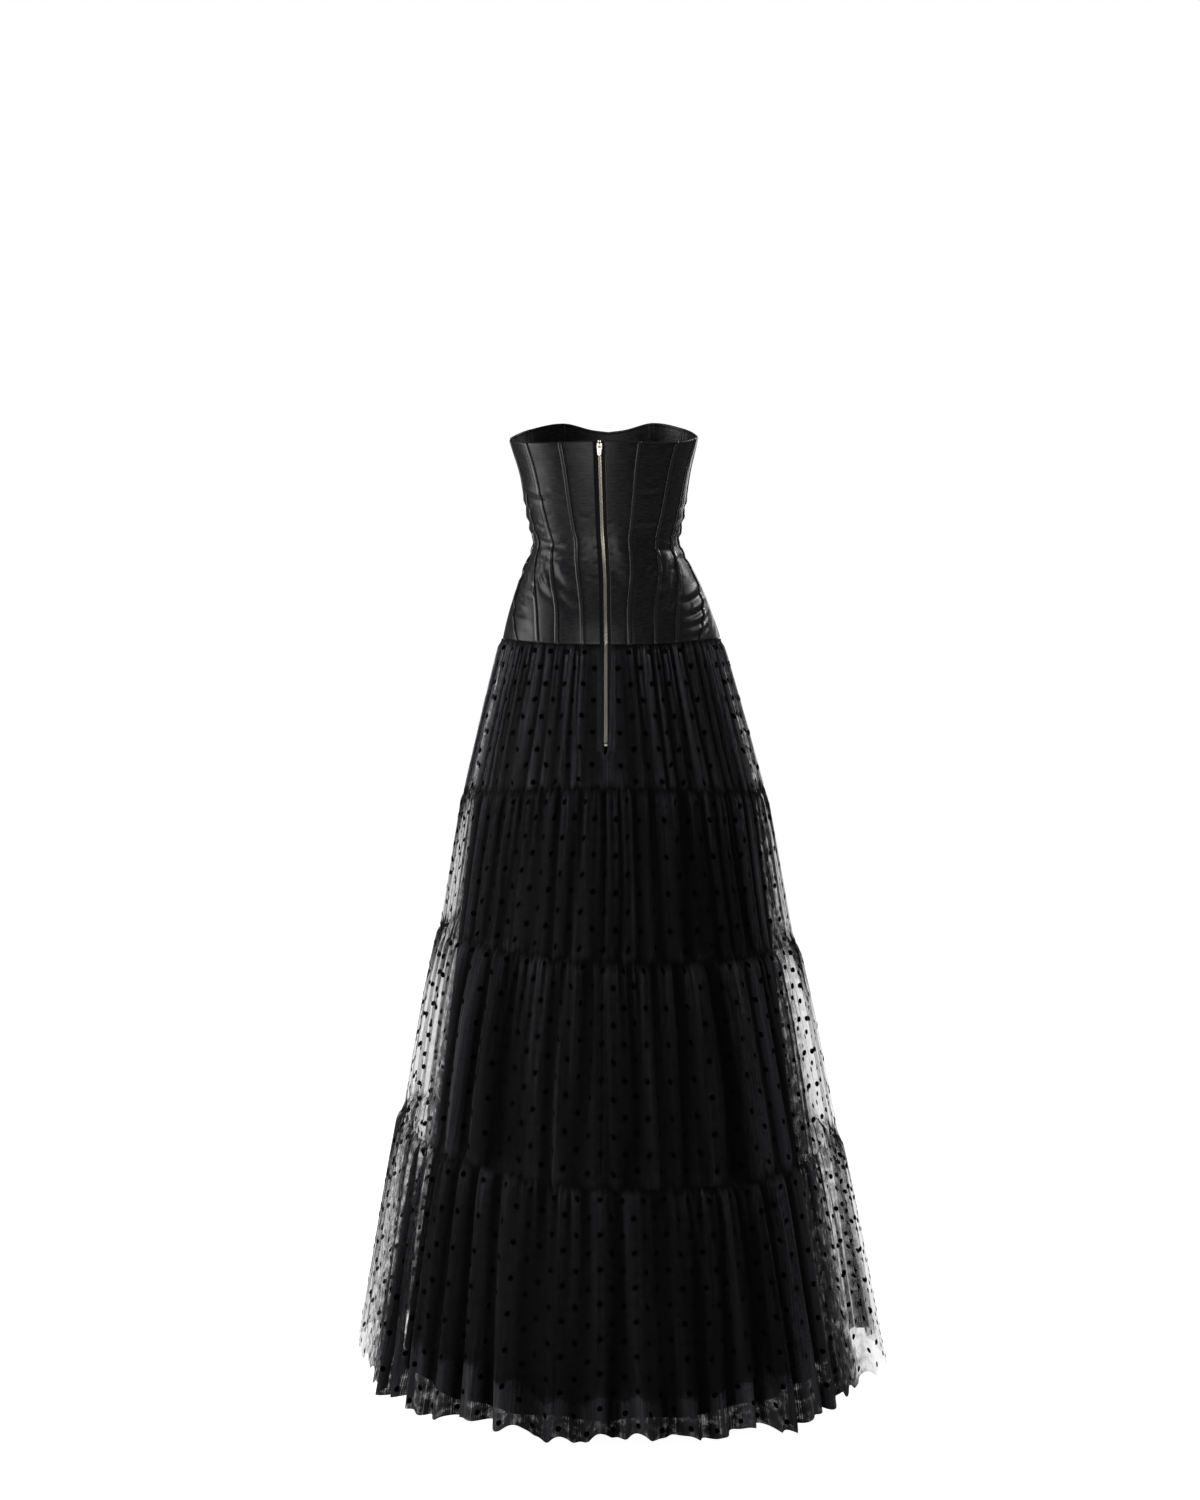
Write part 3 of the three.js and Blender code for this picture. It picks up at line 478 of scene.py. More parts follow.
def zip_middle(z):
    """How far to the left the middle of the zip lies."""
    bodice = smooth(BODY[:, 0], BODY[:, 4], z)
    return np.where(z > BASQUE_SEAM, bodice, np.interp(z, (-350, BASQUE_SEAM), (-12, -7)))


def zip_out(z):
    """The zip's direction out of the cloth, as its parts toward the back and up."""
    slope = (zip_face(z - 3.0) - zip_face(z + 3.0)) / 6
    size = np.hypot(1, slope)
    return 1 / size, slope / size


# Polyester zip tape, woven in herringbone: matt, with ribs that the eye takes as a fine grain. The
# ribs are 0.4 mm apart in the real tape and 0.9 mm here, so that they show.
tape_weave = new_material("black zip tape, herringbone woven")
cut = node(tape_weave, "UVMap", {"uv_map": "cut"})
slant = node(tape_weave, "Mapping", {"Rotation": (0, 0, 0.6)}, {"Vector": (cut, "UV")})
ribs = node(tape_weave, "TexWave", {"wave_type": "BANDS", "Scale": 180, "Distortion": 0.6},
            {"Vector": (slant, "Vector")})
tone = node(tape_weave, "MixRGB", {"Color1": linear("#0d0d0d"), "Color2": linear("#1d1c1c")},
            {"Fac": (ribs, "Fac")})
rib_bump = node(tape_weave, "Bump", {"Strength": 0.5, "Distance": 0.0002}, {"Height": (ribs, "Fac")})
skin = node(tape_weave, "BsdfPrincipled",
            {"Roughness": 0.85, "Sheen Weight": 0.1, "Specular IOR Level": 0.3},
            {"Base Color": (tone, "Color"), "Normal": (rib_bump, "Normal")})
node(tape_weave, "OutputMaterial", {}, {"Surface": (skin, "BSDF")})

for side, word in SIDES:

    def place(across, down):
        x = side * lerp(TAPE["inner"], TAPE["outer"], across if side > 0 else 1 - across)
        z = lerp(TAPE["top"], TAPE["end"], down)
        back, up = zip_out(z)
        half = np.where(z > BASQUE_SEAM, smooth(BODY[:, 0], BODY[:, 1], z),
                        BODY[0, 1] + TAPE["flare"] * (BASQUE_SEAM - z))
        fall = zip_face(z) * 0.5 * (x / half) ** 2
        rear = zip_face(z) - fall - TAPE_DEPTH * back
        return np.stack([x + zip_middle(z), rear, z - TAPE_DEPTH * up], -1)

    tape = cloth(f"zip_tape_{word}_woven", *TAPE_MESH, place, TAPE_CUT)
    thicken(tape, TAPE["thick"], 0)
    tape.data.materials.append(tape_weave)
    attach(tape, "dress")
    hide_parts(f"zip_tape_{word}")


def copies(name, bm, matrices):
    """Many copies of one small bmesh, joined as one object. The bmesh is freed."""
    bm.verts.index_update()
    corners = np.array([(*v.co, 1) for v in bm.verts])
    faces = [[v.index for v in f.verts] for f in bm.faces]
    bm.free()
    places = np.concatenate([corners @ np.array(m).T for m in matrices])[:, :3]
    count = len(corners)
    mesh = bpy.data.meshes.new(name)
    mesh.from_pydata(places, [], [[k + number * count for k in face]
                                  for number in range(len(matrices)) for face in faces])
    mesh.update()
    return placed(name, mesh)


# Zip teeth, pressed brass plated pale gold and polished: bright, each tooth a little different.
zip_gold = new_material("pale gold plated brass, polished")
where = node(zip_gold, "TexCoord", {})
spots = node(zip_gold, "TexNoise", {"Scale": 900, "Detail": 2}, {"Vector": (where, "Object")})
tone = node(zip_gold, "MixRGB", {"Color1": linear("#e6dfcc"), "Color2": linear("#fffaf0")},
            {"Fac": (spots, "Fac")})
rough = node(zip_gold, "MapRange", {"To Min": 0.2, "To Max": 0.42}, {"Value": (spots, "Fac")})
skin = node(zip_gold, "BsdfPrincipled", {"Metallic": 1.0},
            {"Base Color": (tone, "Color"), "Roughness": (rough, "Result")})
node(zip_gold, "OutputMaterial", {}, {"Surface": (skin, "BSDF")})

tooth = bmesh.new()
bmesh.ops.create_cube(tooth, size=0.001)
bmesh.ops.scale(tooth, verts=tooth.verts,
                vec=(TOOTH["outer"] - TOOTH["inner"], TOOTH["thick"], TOOTH["tall"]))
head = [v for v in tooth.verts if v.co.x < 0]
bmesh.ops.scale(tooth, verts=head, vec=(1, TOOTH["thin"], TOOTH["head"] / TOOTH["tall"]))
bmesh.ops.bevel(tooth, geom=list(tooth.edges), offset=TOOTH["bevel"] / 1000, segments=1,
                affect="EDGES")
places = []
reach = (TOOTH["outer"] + TOOTH["inner"]) / 2
for number in range(int((CHAIN_TOP - CHAIN_END - TOOTH["tall"]) / TOOTH["pitch"] * 2)):
    side = 1 if number % 2 else -1
    z = CHAIN_TOP - TOOTH["tall"] / 2 - number * TOOTH["pitch"] / 2
    back, up = (float(x) for x in zip_out(z))
    seat = Matrix.Translation(((side * reach + float(zip_middle(z))) / 1000,
                               (float(zip_face(z)) - TAPE_DEPTH * back) / 1000,
                               (z - TAPE_DEPTH * up) / 1000))
    turned = Matrix(((1, 0, 0, 0), (0, back, -up, 0), (0, up, back, 0), (0, 0, 0, 1)))
    places.append(seat @ turned @ Matrix.Rotation(0 if side > 0 else math.pi, 4, "Z"))
teeth = copies("zip_teeth_plated", tooth, places)
teeth.data.materials.append(zip_gold)
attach(teeth, "dress")
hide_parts("zip_chain")

# The stops, the slider and its pull tab keep their CAD shapes, with their edges rounded as the
# tumbled plating of small zip parts is. The slider and pull are brighter than the teeth.
zip_chrome = new_material("zinc casting, bright plated")
where = node(zip_chrome, "TexCoord", {})
scuffs = node(zip_chrome, "TexNoise", {"Scale": 700, "Detail": 4, "Roughness": 0.7},
              {"Vector": (where, "Object")})
tone = node(zip_chrome, "MixRGB", {"Color1": linear("#c9c2b2"), "Color2": linear("#f0ede6")},
            {"Fac": (scuffs, "Fac")})
rough = node(zip_chrome, "MapRange", {"From Min": 0.35, "From Max": 0.65, "To Min": 0.14,
                                      "To Max": 0.34}, {"Value": (scuffs, "Fac")})
skin = node(zip_chrome, "BsdfPrincipled", {"Metallic": 1.0},
            {"Base Color": (tone, "Color"), "Roughness": (rough, "Result")})
node(zip_chrome, "OutputMaterial", {}, {"Surface": (skin, "BSDF")})

# each piece's metal and the width of its rounded edges
METAL_PIECES = {
    "zip_top_stop_left": (zip_gold, 0.3), "zip_top_stop_right": (zip_gold, 0.3),
    "zip_bottom_stop": (zip_gold, 0.35),
    "zip_slider": (zip_chrome, 0.22), "pull_tab": (zip_chrome, 0.2),
}
for name, (metal, edge) in METAL_PIECES.items():
    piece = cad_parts[name]
    piece.data.materials.clear()
    piece.data.materials.append(metal)
    weld = piece.modifiers.new("welded", "WELD")
    weld.merge_threshold = 0.00001
    rounded = piece.modifiers.new("rounded edges", "BEVEL")
    rounded.width = edge / 1000
    rounded.segments = 2
    rounded.limit_method = "ANGLE"
    rounded.angle_limit = math.radians(40)


# The tulle skirt
# Four tiers of fine black tulle, each a long strip gathered along its upper edge and sewn to the
# one above, so that it opens downward into soft round folds. The first has a back opening for the
# zip; all have side seams. The hem is a raw cut edge.

# its columns are those of BODY
SKIRT = np.array([
    (-1193, 384, 394, 374, -18), (-858, 318, 338, 314, -15), (-568, 256, 258, 234, -13),
    (-350, 216, 190, 168, -12), (-143, 159, 117, 106, -7),
])
# turn, spread and how far out at the hem of each of the largest folds
GREAT_FOLDS = (
    (8, 9, 7), (-14, 9, -8), (-34, 12, 15), (-68, 10, -20), (-86, 9, 10), (-112, 12, 8),
    (-138, 13, -10), (-162, 12, 9), (162, 12, 9), (136, 12, -9), (105, 15, 12), (70, 12, -12),
    (44, 12, 9), (26, 9, -8),
)
# folds all round, how far they swell when open and at the seam, how far the tier puffs out, where
# its folds start and how bright the light painted on them is; its gathers all round, the swell of
# the finest and of the next ones, and how far these reach down; the folds bunched beside its left
# and right side: degrees from there, spread, and how much they thicken the cloth; its puff and its
# folds as shares, at these shares of its height; its mesh and cut
TIERS = (
    {"folds": 56, "swell": 3.2, "edge": 1.4, "puff": 2, "phase": 0.4, "light": 1.9, "gathers": 232,
     "fine": 1.0, "half": 1.8, "reach": 110, "bunches": ((15, 9, 3.5), (15, 13, 3.5)),
     "at": (0, 0.06, 0.72, 1), "puffs": (0, 0.9, 0.6, 0), "opens": (0, 0.7, 1, 0.6),
     "columns": 1500, "rows": 22, "cut": (1.60, 0.214)},
    {"folds": 48, "swell": 5.6, "edge": 2.4, "puff": 3, "phase": 1.9, "light": 1.0, "gathers": 236,
     "fine": 1.5, "half": 2.6, "reach": 75, "bunches": ((27, 6, 14), (25, 9, 16)),
     "at": (0, 0.08, 1), "puffs": (0, 0.8, 0), "opens": (0, 0.6, 0.7),
     "columns": 1600, "rows": 22, "cut": (2.02, 0.226)},
    {"folds": 36, "swell": 9.5, "edge": 3.2, "puff": 6, "phase": 3.1, "light": 0.95, "gathers": 244,
     "fine": 1.7, "half": 3.2, "reach": 70, "bunches": ((37, 6, 24), (36, 10, 28)),
     "at": (0, 0.07, 0.4, 1), "puffs": (0, 0.7, 1, 0), "opens": (0, 0.5, 1, 0.7),
     "columns": 1600, "rows": 28, "cut": (2.46, 0.294)},
    {"folds": 44, "swell": 9.5, "edge": 3.6, "puff": 5, "phase": 4.6, "light": 0.9, "gathers": 252,
     "fine": 1.7, "half": 3.2, "reach": 75, "bunches": ((19, 13, 7), (32, 9, 34)),
     "at": (0, 0.06, 0.35, 1), "puffs": (0, 0.75, 1, 0), "opens": (0, 0.5, 0.95, 1.9),
     "columns": 1700, "rows": 32, "cut": (2.95, 0.338)},
)
# how much calmer the folds hang at the sides, and over how many degrees
SIDE_CALM = (0.78, 19)
UNDER_SATIN = 0.3


def tier_seam(index, turn):
    """A level seam's height, with the scallops that its gathers pull into it. The hem's are the
    longer, uneven lobes of cloth that hangs free."""
    u = np.radians(turn)
    if index == 4:
        lobes = 4.5 * np.tanh(1.6 * np.cos(33 * u + 3 * np.sin(5 * u))) + 3.5 * np.cos(14 * u + 1)
        return level(4, turn) + lobes + 1.6 * np.cos(77 * u + 2 * np.sin(9 * u))
    scallops = 1.9 * np.cos(53 * u + 2.5 * np.sin(3 * u + index)) + 1.3 * np.cos(97 * u + index)
    return level(index, turn) + scallops * (index > 0)


def beside_zip(turn):
    """The first tier lies flat up to 6 degrees from the zip; its folds are full from 14 on."""
    return ramp((np.abs(wrapped(turn)) - 6) / 8)


def seam_swell(index, turn):
    """How far a seam's line stands in and out, shared by the tiers above and below it."""
    u = np.radians(turn)
    if index == 0:
        return 0.5 * np.cos(116 * u) * beside_zip(turn)
    large = 0.7 * TIERS[index]["edge"] * np.cos(TIERS[index]["folds"] * u + 1.2 * np.sin(5 * u))
    return large + 1.1 * np.cos(173 * u + 2 * np.sin(7 * u + index)) + 0.5 * np.cos(311 * u)


def great_folds(turn, z):
    grown = np.clip((LEVELS[1][0] - z) / (LEVELS[1][0] - LEVELS[4][0]), 0, 1)
    return grown * sum(out * bell(wrapped(turn - at), spread) for at, spread, out in GREAT_FOLDS)


def uneven(place, phase):
    """Folds are uneven: this moves them round the skirt and leaves the side seams in place."""
    u = np.radians(place)
    drift = 0.045 * np.cos(3 * u + phase) + 0.02 * np.cos(7 * u + 2 * phase)
    return place + np.degrees(np.sin(2 * u) * drift)


def side_distance(turn):
    """Degrees from the middle of the nearer side, where the tulle hangs flattest."""
    return np.minimum(np.abs(wrapped(turn - 82)), np.abs(wrapped(turn + 90)))


def tier_folds(index, place, down):
    """The turn, the height and the outward push of points on a tier of tulle, at places round it
    and shares of its height downward, and the light painted on each point: a painted highlight high
    on its folds, painted shade in the valleys and beside the seams."""
    tier, phase = TIERS[index], TIERS[index]["phase"]
    turn = uneven(place, phase)
    top = tier_seam(index, turn) - UNDER_SATIN * (index == 0)
    low = tier_seam(index + 1, turn)
    z = lerp(top, low, down)
    below, above = top - z, z - low
    u = np.radians(place)

    # how deep the folds are: unlike each other, and calm beside the zip and at the sides
    calm = beside_zip(turn) if index == 0 else 1
    grown = 0.72 + 0.18 * np.sin(5 * u + phase) + 0.25 * np.sin(11 * u + 2 * phase + down)
    at_side = SIDE_CALM[0] * bell(side_distance(turn), SIDE_CALM[1]) * (index > 0)
    grown = tier["swell"] * grown * (1 - at_side)
    swell = calm * lerp(tier["edge"], grown, smooth(tier["at"], tier["opens"], down))

    # where they run: they wander on their way down, and smaller ones lie between them
    meander = 0.6 * np.sin(2.6 * down + 3 * u + index) * down + 0.45 * np.sin(4.1 * down + 11 * u)
    angle = tier["folds"] * u + meander
    angle = angle + 1.6 * np.sin(5 * u + index) + 1.1 * np.sin(13 * u + 2 * index)
    fold = np.cos(angle) - 0.3 * np.cos(2 * angle + 0.5 * np.sin(5 * u))
    between = 0.45 * np.cos(1.62 * tier["folds"] * u + 2.1 * down + phase + 1.9 * np.sin(7 * u))
    shape = (fold + between) / 1.15
    crumple = 0.35 * np.sin(61 * u + 17 * down) * np.sin(23 * u - 29 * down) * calm

    # the gathers under the seam, which run out a little way down
    pull = 0.65 + 0.35 * np.sin(9 * u + 2 * index)
    angle = tier["gathers"] * u + 3 * np.sin(6 * u) + 0.05 * below
    fine = calm * tier["fine"] * pull * np.exp(-below / 22) * np.cos(angle)
    angle = tier["gathers"] / 2 * u + 2 * np.sin(5 * u + index) + 1.2 * np.sin(below / 60 + 3 * u)
    half = calm * tier["half"] * pull * ramp(below / 24)
    half = half * np.exp(-below / tier["reach"]) * np.cos(angle)

    # both seams are shared with the next cloth, and their gathers are pressed flat
    push = tier["puff"] * smooth(tier["at"], tier["puffs"], down) + swell * shape
    push = push + fine + half + crumple
    push = lerp(seam_swell(index, turn), push, ramp(below / 9))
    # Painted shade: drawn dims the painted light beside both seams.
    drawn = ramp(below / 10)
    if index < 3:
        push = lerp(seam_swell(index + 1, turn), push, ramp(above / 14))
        drawn = drawn * ramp((above + 3) / 10)
    # The light painted on the net: a painted highlight on the fold tops and gathers and painted shade
    # in the valleys, varied at random round the skirt and scaled by the tier's painted light.
    painted_light = 0.5 + (0.42 * swell * shape + 0.85 * (fine + half)) / (0.62 * swell + 0.8)
    painted_light = 1 - (1 - np.clip(painted_light, 0, 1)) ** 1.35
    broad = 1 + 0.28 * np.cos(17 * u + 2 * np.sin(3 * u + index) + 1.5 * down)
    return turn, z, push, painted_light * broad * (0.15 + 0.85 * drawn) * tier["light"]


def tier_surface(index, place, down):
    turn, z, push, _ = tier_folds(index, place, down)
    ring = [np.interp(z, SKIRT[:, 0], SKIRT[:, k]) for k in (1, 2, 3, 4)]
    return ring_point(*ring, turn, push + great_folds(turn, z), z)


def fold_density(index, place, down):
    """How many layers thick the tulle looks from straight outside: more on a fold's sides, where
    folds are bunched and at a tier's lower edge, and most in the gathers, which the mesh can't show.
    Toward the hem, away from the sides, the last tier is made far denser and so darker: painted
    shade."""
    step = 0.05
    side = tier_surface(index, place + step, down) - tier_surface(index, place - step, down)
    turn = uneven(place, TIERS[index]["phase"])
    outward = np.stack([np.sin(np.radians(turn)), np.cos(np.radians(turn))], -1)
    away = np.abs((side[..., :2] * outward).sum(-1))
    along = np.sqrt(np.clip((side[..., :2] ** 2).sum(-1) - away ** 2, 1e-6, None))
    steep = np.hypot(1, np.clip(away / along, 0, 4))
    tall = TIERS[index]["cut"][1] * 1000
    gathered = 5 * np.exp(-down * tall / 6) + 2.2 * np.exp(-down * tall / 40)
    behind = outward[..., 1] > 0
    if index < 3:
        gathered = gathered + 3.5 * np.exp(-(1 - down) * tall / 5)
    else:
        # Painted shade: toward the hem, away from the sheer sides, the last tier is made far denser,
        # so that it shows darker there.
        from_sheer = side_distance(turn) - np.where(behind, 14, 40)
        hem_shade = np.interp(from_sheer, (0, 10, 70), (0, 14, 46))
        begins = np.interp(from_sheer, (0, 8, 30, 55), (0.88, 0.7, 0.75, 0.84))
        gathered = gathered + hem_shade * ramp((down - begins) / 0.06)
    left, right = (most * bell(side_distance(turn) - at, spread)
                   for at, spread, most in TIERS[index]["bunches"])
    bunched = np.where(wrapped(turn) > 0, left, right) * np.where(behind, 1, 0.06)
    return steep * (1 + bunched) + gathered


# Nylon tulle, a hexagonal net: sheer alone, and denser wherever it lies folded. Its holes are 1 mm
# across and are drawn 1.6 mm wide. Slack threads streak it downward, 4 mm wide and 200 mm long. A
# painted highlight lights the tops of the folds, and painted shade keeps the valleys between them
# black.
tulle = new_material("black nylon tulle, knitted net")
cut = node(tulle, "UVMap", {"uv_map": "cut"})
thick = node(tulle, "Attribute", {"attribute_name": "cloth_layers"})
painted_light = node(tulle, "Attribute", {"attribute_name": "painted_fold_light"})
fall = node(tulle, "Mapping", {"Scale": (240, 5, 1)}, {"Vector": (cut, "UV")})
streaks = node(tulle, "TexNoise",
               {"noise_dimensions": "2D", "Scale": 1, "Detail": 4, "Roughness": 0.7},
               {"Vector": (fall, "Vector")})
streaked = node(tulle, "MapRange", {"From Min": 0.32, "From Max": 0.7, "To Min": 0.55, "To Max": 1.7},
                {"Value": (streaks, "Fac")})
holes = node(tulle, "TexVoronoi", {"voronoi_dimensions": "2D", "feature": "DISTANCE_TO_EDGE",
                                   "Scale": 620, "Randomness": 0.35}, {"Vector": (cut, "UV")})
threads = node(tulle, "MapRange", {"From Min": 0.02, "From Max": 0.3, "To Min": 2.1, "To Max": 0.55},
               {"Value": (holes, "Distance")})
crumples = node(tulle, "TexNoise",
                {"noise_dimensions": "2D", "Scale": 75, "Detail": 3, "Roughness": 0.6},
                {"Vector": (cut, "UV")})
patchy = node(tulle, "MapRange", {"From Min": 0.35, "From Max": 0.65, "To Min": 0.4, "To Max": 1.3},
              {"Value": (crumples, "Fac")})
ragged = node(tulle, "Math", {"operation": "MULTIPLY"},
              {0: (patchy, "Result"), 1: (streaked, "Result")})
change = node(tulle, "Math", {"operation": "SUBTRACT", 1: 1.0}, {0: (ragged, 0)})
crowded = node(tulle, "MapRange", {"From Min": 1.3, "From Max": 4, "To Min": 0.3, "To Max": 1},
               {"Value": (thick, "Fac")})
share = node(tulle, "Math", {"operation": "MULTIPLY_ADD", 2: 1.0},
             {0: (change, 0), 1: (crowded, "Result")})
layers = node(tulle, "Math", {"operation": "MULTIPLY"}, {0: (thick, "Fac"), 1: (share, 0)})
netted = node(tulle, "Math", {"operation": "MULTIPLY"}, {0: (layers, 0), 1: (threads, "Result")})
clear = node(tulle, "Math", {"operation": "POWER", 0: 0.83}, {1: (netted, 0)})
cover = node(tulle, "Math", {"operation": "SUBTRACT", 0: 1.0, "use_clamp": True}, {1: (clear, 0)})
# The net's colour is painted light: the painted highlight on the fold tops and the painted shade in
# the valleys and at the seams, dimmed along the slack threads' streaks, pick a tone from black to
# grey.
slack_streaks_and_highlight = node(tulle, "MapRange", {"From Min": 0.3, "From Max": 0.7, "To Min": 0.28, "To Max": 0.62},
             {"Value": (streaks, "Fac")})
lit = node(tulle, "Math", {"operation": "MULTIPLY", "use_clamp": True},
           {0: (painted_light, "Fac"), 1: (slack_streaks_and_highlight, "Result")})
tone = node(tulle, "ValToRGB", {}, {"Fac": (lit, 0)})
tone.color_ramp.elements[0].position, tone.color_ramp.elements[1].position = 0.07, 1
tone.color_ramp.elements[0].color = linear("#020202")
tone.color_ramp.elements[1].color = linear("#66666b")
tone.color_ramp.elements.new(0.5).color = linear("#353539")
skin = node(tulle, "BsdfPrincipled",
            {"Roughness": 0.75, "Sheen Weight": 0.03, "Sheen Roughness": 0.5,
             "Sheen Tint": linear("#77777c"), "Specular IOR Level": 0.15},
            {"Base Color": (tone, "Color"), "Alpha": (cover, 0)})
node(tulle, "OutputMaterial", {}, {"Surface": (skin, "BSDF")})

# Flocked dots: short black velvet fibres glued to the net, 8 mm across. The pile takes nearly all
# the light, so that they stay darker than the cloth, with a faint sheen round the edge.
flock = new_material("black velvet flock")
where = node(flock, "TexCoord", {})
pile = node(flock, "TexNoise", {"Scale": 1600, "Detail": 2}, {"Vector": (where, "Object")})
tone = node(flock, "MixRGB", {"Color1": linear("#010101"), "Color2": linear("#040404")},
            {"Fac": (pile, "Fac")})
fuzz = node(flock, "Bump", {"Strength": 0.4, "Distance": 0.0002}, {"Height": (pile, "Fac")})
skin = node(flock, "BsdfPrincipled",
            {"Roughness": 0.95, "Sheen Weight": 0.01, "Specular IOR Level": 0.03},
            {"Base Color": (tone, "Color"), "Normal": (fuzz, "Normal")})
node(flock, "OutputMaterial", {}, {"Surface": (skin, "BSDF")})

DOT = {"radius": 4.0, "rim": 1.1, "pile": 0.35, "lift": 0.15, "across": 44.0, "rows": 24.0}
FIRST_DOT_ROW = (11, 17, 9, 15)
# how far a dot stays from a side seam, in degrees, and from the zip's middle, in millimetres
DOT_MARGIN = {"side": 0.9, "zip": 13.0}
# how far the centre back lies from the middle, and how much of the zip's opening is left downward
BACK_RADIUS = 160
OPENING = np.array([(0, 1), (0.2, 0.8), (0.715, 0.45), (0.75, 0)])


def opening_turn(index, down, half=ZIP_HALF_OPENING):
    """How far the first tier's back edges stand from the centre back, in degrees."""
    apart = np.interp(down, OPENING[:, 0], half * OPENING[:, 1]) * (index == 0)
    return np.degrees(apart / BACK_RADIUS)


def dots(name, index, start, end):
    """The dots of one piece of a tier, wrapped round its folds so that each keeps its size."""
    disc = bmesh.new()
    bmesh.ops.create_circle(disc, cap_ends=True, segments=12, radius=DOT["radius"])
    rim = bmesh.ops.inset_individual(disc, faces=list(disc.faces), thickness=DOT["rim"],
                                     use_even_offset=True)
    inner = [f for f in disc.faces if f not in rim["faces"]]
    top = list({v for f in inner for v in f.verts})
    bmesh.ops.translate(disc, verts=top, vec=(0, 0, DOT["pile"]))
    bmesh.ops.poke(disc, faces=inner)
    tier = TIERS[index]
    width, tall = (1000 * x for x in tier["cut"])
    count = round(width / DOT["across"])
    places, downs = [], []
    for row, below in enumerate(np.arange(FIRST_DOT_ROW[index], tall, DOT["rows"])):
        down = below / tall
        margin = float(opening_turn(index, down, DOT_MARGIN["zip"]))
        low = start + (margin if start == 0 else DOT_MARGIN["side"])
        high = end - (margin if end == 0 else DOT_MARGIN["side"])
        samples = np.linspace(start - 3, end + 3, int((end - start) * 25))
        path = tier_surface(index, samples, np.full_like(samples, down))
        arc = np.concatenate([[0], np.cumsum(np.linalg.norm(np.diff(path, axis=0), axis=1))])
        for number in range(-count, 2 * count):
            place = (number + 0.5 * (row % 2)) * 360 / count
            if low < place < high:
                places.append((np.interp(place, samples, arc), arc, samples))
                downs.append(down)
    made = copies(name, disc, [Matrix.Identity(4)] * len(places))
    flat = np.empty(len(made.data.vertices) * 3)
    made.data.vertices.foreach_get("co", flat)
    flat = flat.reshape(len(places), -1, 3)
    round_it = np.stack([np.interp(at + flat[i, :, 0], arc, samples)
                         for i, (at, arc, samples) in enumerate(places)])
    down = np.array(downs)[:, None] - flat[..., 1] / tall
    out = facing(lambda a, b: tier_surface(index, a, b), round_it, down, 0.03, 0.002)
    lifted = DOT["lift"] + flat[..., 2]
    points = tier_surface(index, round_it, down) + out * lifted[..., None]
    made.data.vertices.foreach_set("co", (points / 1000).ravel())
    made.data.shade_smooth()
    made.data.update()
    made.data.materials.append(flock)
    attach(made, "dress")
    return made


def tier_piece(index, word, start, end):
    tier = TIERS[index]
    share = (end - start) / 360
    flat = (round(tier["cut"][0] * share, 3), tier["cut"][1])

    def spot(across, down):
        apart = opening_turn(index, down)
        return lerp(start + apart * (start == 0), end - apart * (end == 0), across)

    def place(across, down):
        found.append(np.stack([spot(across, down), down]))
        return tier_surface(index, spot(across, down), down)

    found = []
    name = f"tulle_tier_{index + 1}_{word}"
    made = cloth(name + "_net", round(tier["columns"] * share), tier["rows"], place, flat, 1.25)
    where, down = found[0]
    density = fold_density(index, where, down)
    # the painted highlight and painted shade of each point, which the net's colour is made from
    painted_light = tier_folds(index, where, down)[3]
    if index == 0:
        # the edges beside the zip are turned under
        beside = np.abs(np.radians(wrapped(where))) * BACK_RADIUS
        beside = beside - np.radians(opening_turn(0, down)) * BACK_RADIUS
        density = density + 3 * np.exp(-beside / 3)
    for kind, values in (("cloth_layers", density), ("painted_fold_light", painted_light)):
        made.data.attributes.new(kind, "FLOAT", "POINT").data.foreach_set("value", values)
    made.data.materials.append(tulle)
    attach(made, "dress")
    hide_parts(name)
    spots = dots(name + "_dots", index, start, end)


for index in range(4):
    if index == 0:
        tier_piece(index, "back_left", 0, 90)
        tier_piece(index, "back_right", -90, 0)
    else:
        tier_piece(index, "back", -90, 90)
    tier_piece(index, "front", 90, 270)


# The underskirt
# A plain flared skirt of opaque black lining cloth, narrower than the tulle. It is sewn into the
# same seam as the first tier, open behind the zip, and hangs in soft broad waves.

# its columns are those of BODY
UNDERSKIRT = np.array([
    (-1180, 305, 338, 318, -12), (-939, 270, 288, 270, -12), (-821, 252, 264, 246, -12),
    (-573, 226, 222, 202, -12), (-350, 201, 172, 152, -12), (-292, 187, 158, 141, -11),
    (-146, 155.2, 113.2, 102.2, -7),
])
# each flared piece: the turns where it starts and ends, its greatest width and its length
UNDERSKIRT_PIECES = (("back_left", 0, 90, (0.53, 1.062)), ("back_right", -90, 0, (0.53, 1.062)),
                     ("front", 90, 270, (1.03, 1.06)))
UNDERSKIRT_MESH = (280, 70)
LINING_THICK = 0.6
# how far its centre back lies from the middle, and where downward the zip's opening closes
LINING_RADIUS = 150
CLOSES = (0.143, 0.16)
WAVES = {"count": 16, "swell": 7, "phase": 2.2, "small": 1.2, "small_count": 41}

# Viscose lining, woven plain: opaque, smooth and nearly matt. Its weave is too fine to show, and
# only a soft unevenness of the cloth is drawn.
lining = new_material("black viscose lining, plain woven")
cut = node(lining, "UVMap", {"uv_map": "cut"})
hang = node(lining, "Mapping", {"Scale": (60, 8, 1)}, {"Vector": (cut, "UV")})
soft = node(lining, "TexNoise", {"noise_dimensions": "2D", "Scale": 1, "Detail": 3},
            {"Vector": (hang, "Vector")})
tone = node(lining, "MixRGB", {"Color1": linear("#030303"), "Color2": linear("#080809")},
            {"Fac": (soft, "Fac")})
dimples = node(lining, "Bump", {"Strength": 0.3, "Distance": 0.001}, {"Height": (soft, "Fac")})
skin = node(lining, "BsdfPrincipled", {"Roughness": 0.7, "Specular IOR Level": 0.12},
            {"Base Color": (tone, "Color"), "Normal": (dimples, "Normal")})
node(lining, "OutputMaterial", {}, {"Surface": (skin, "BSDF")})

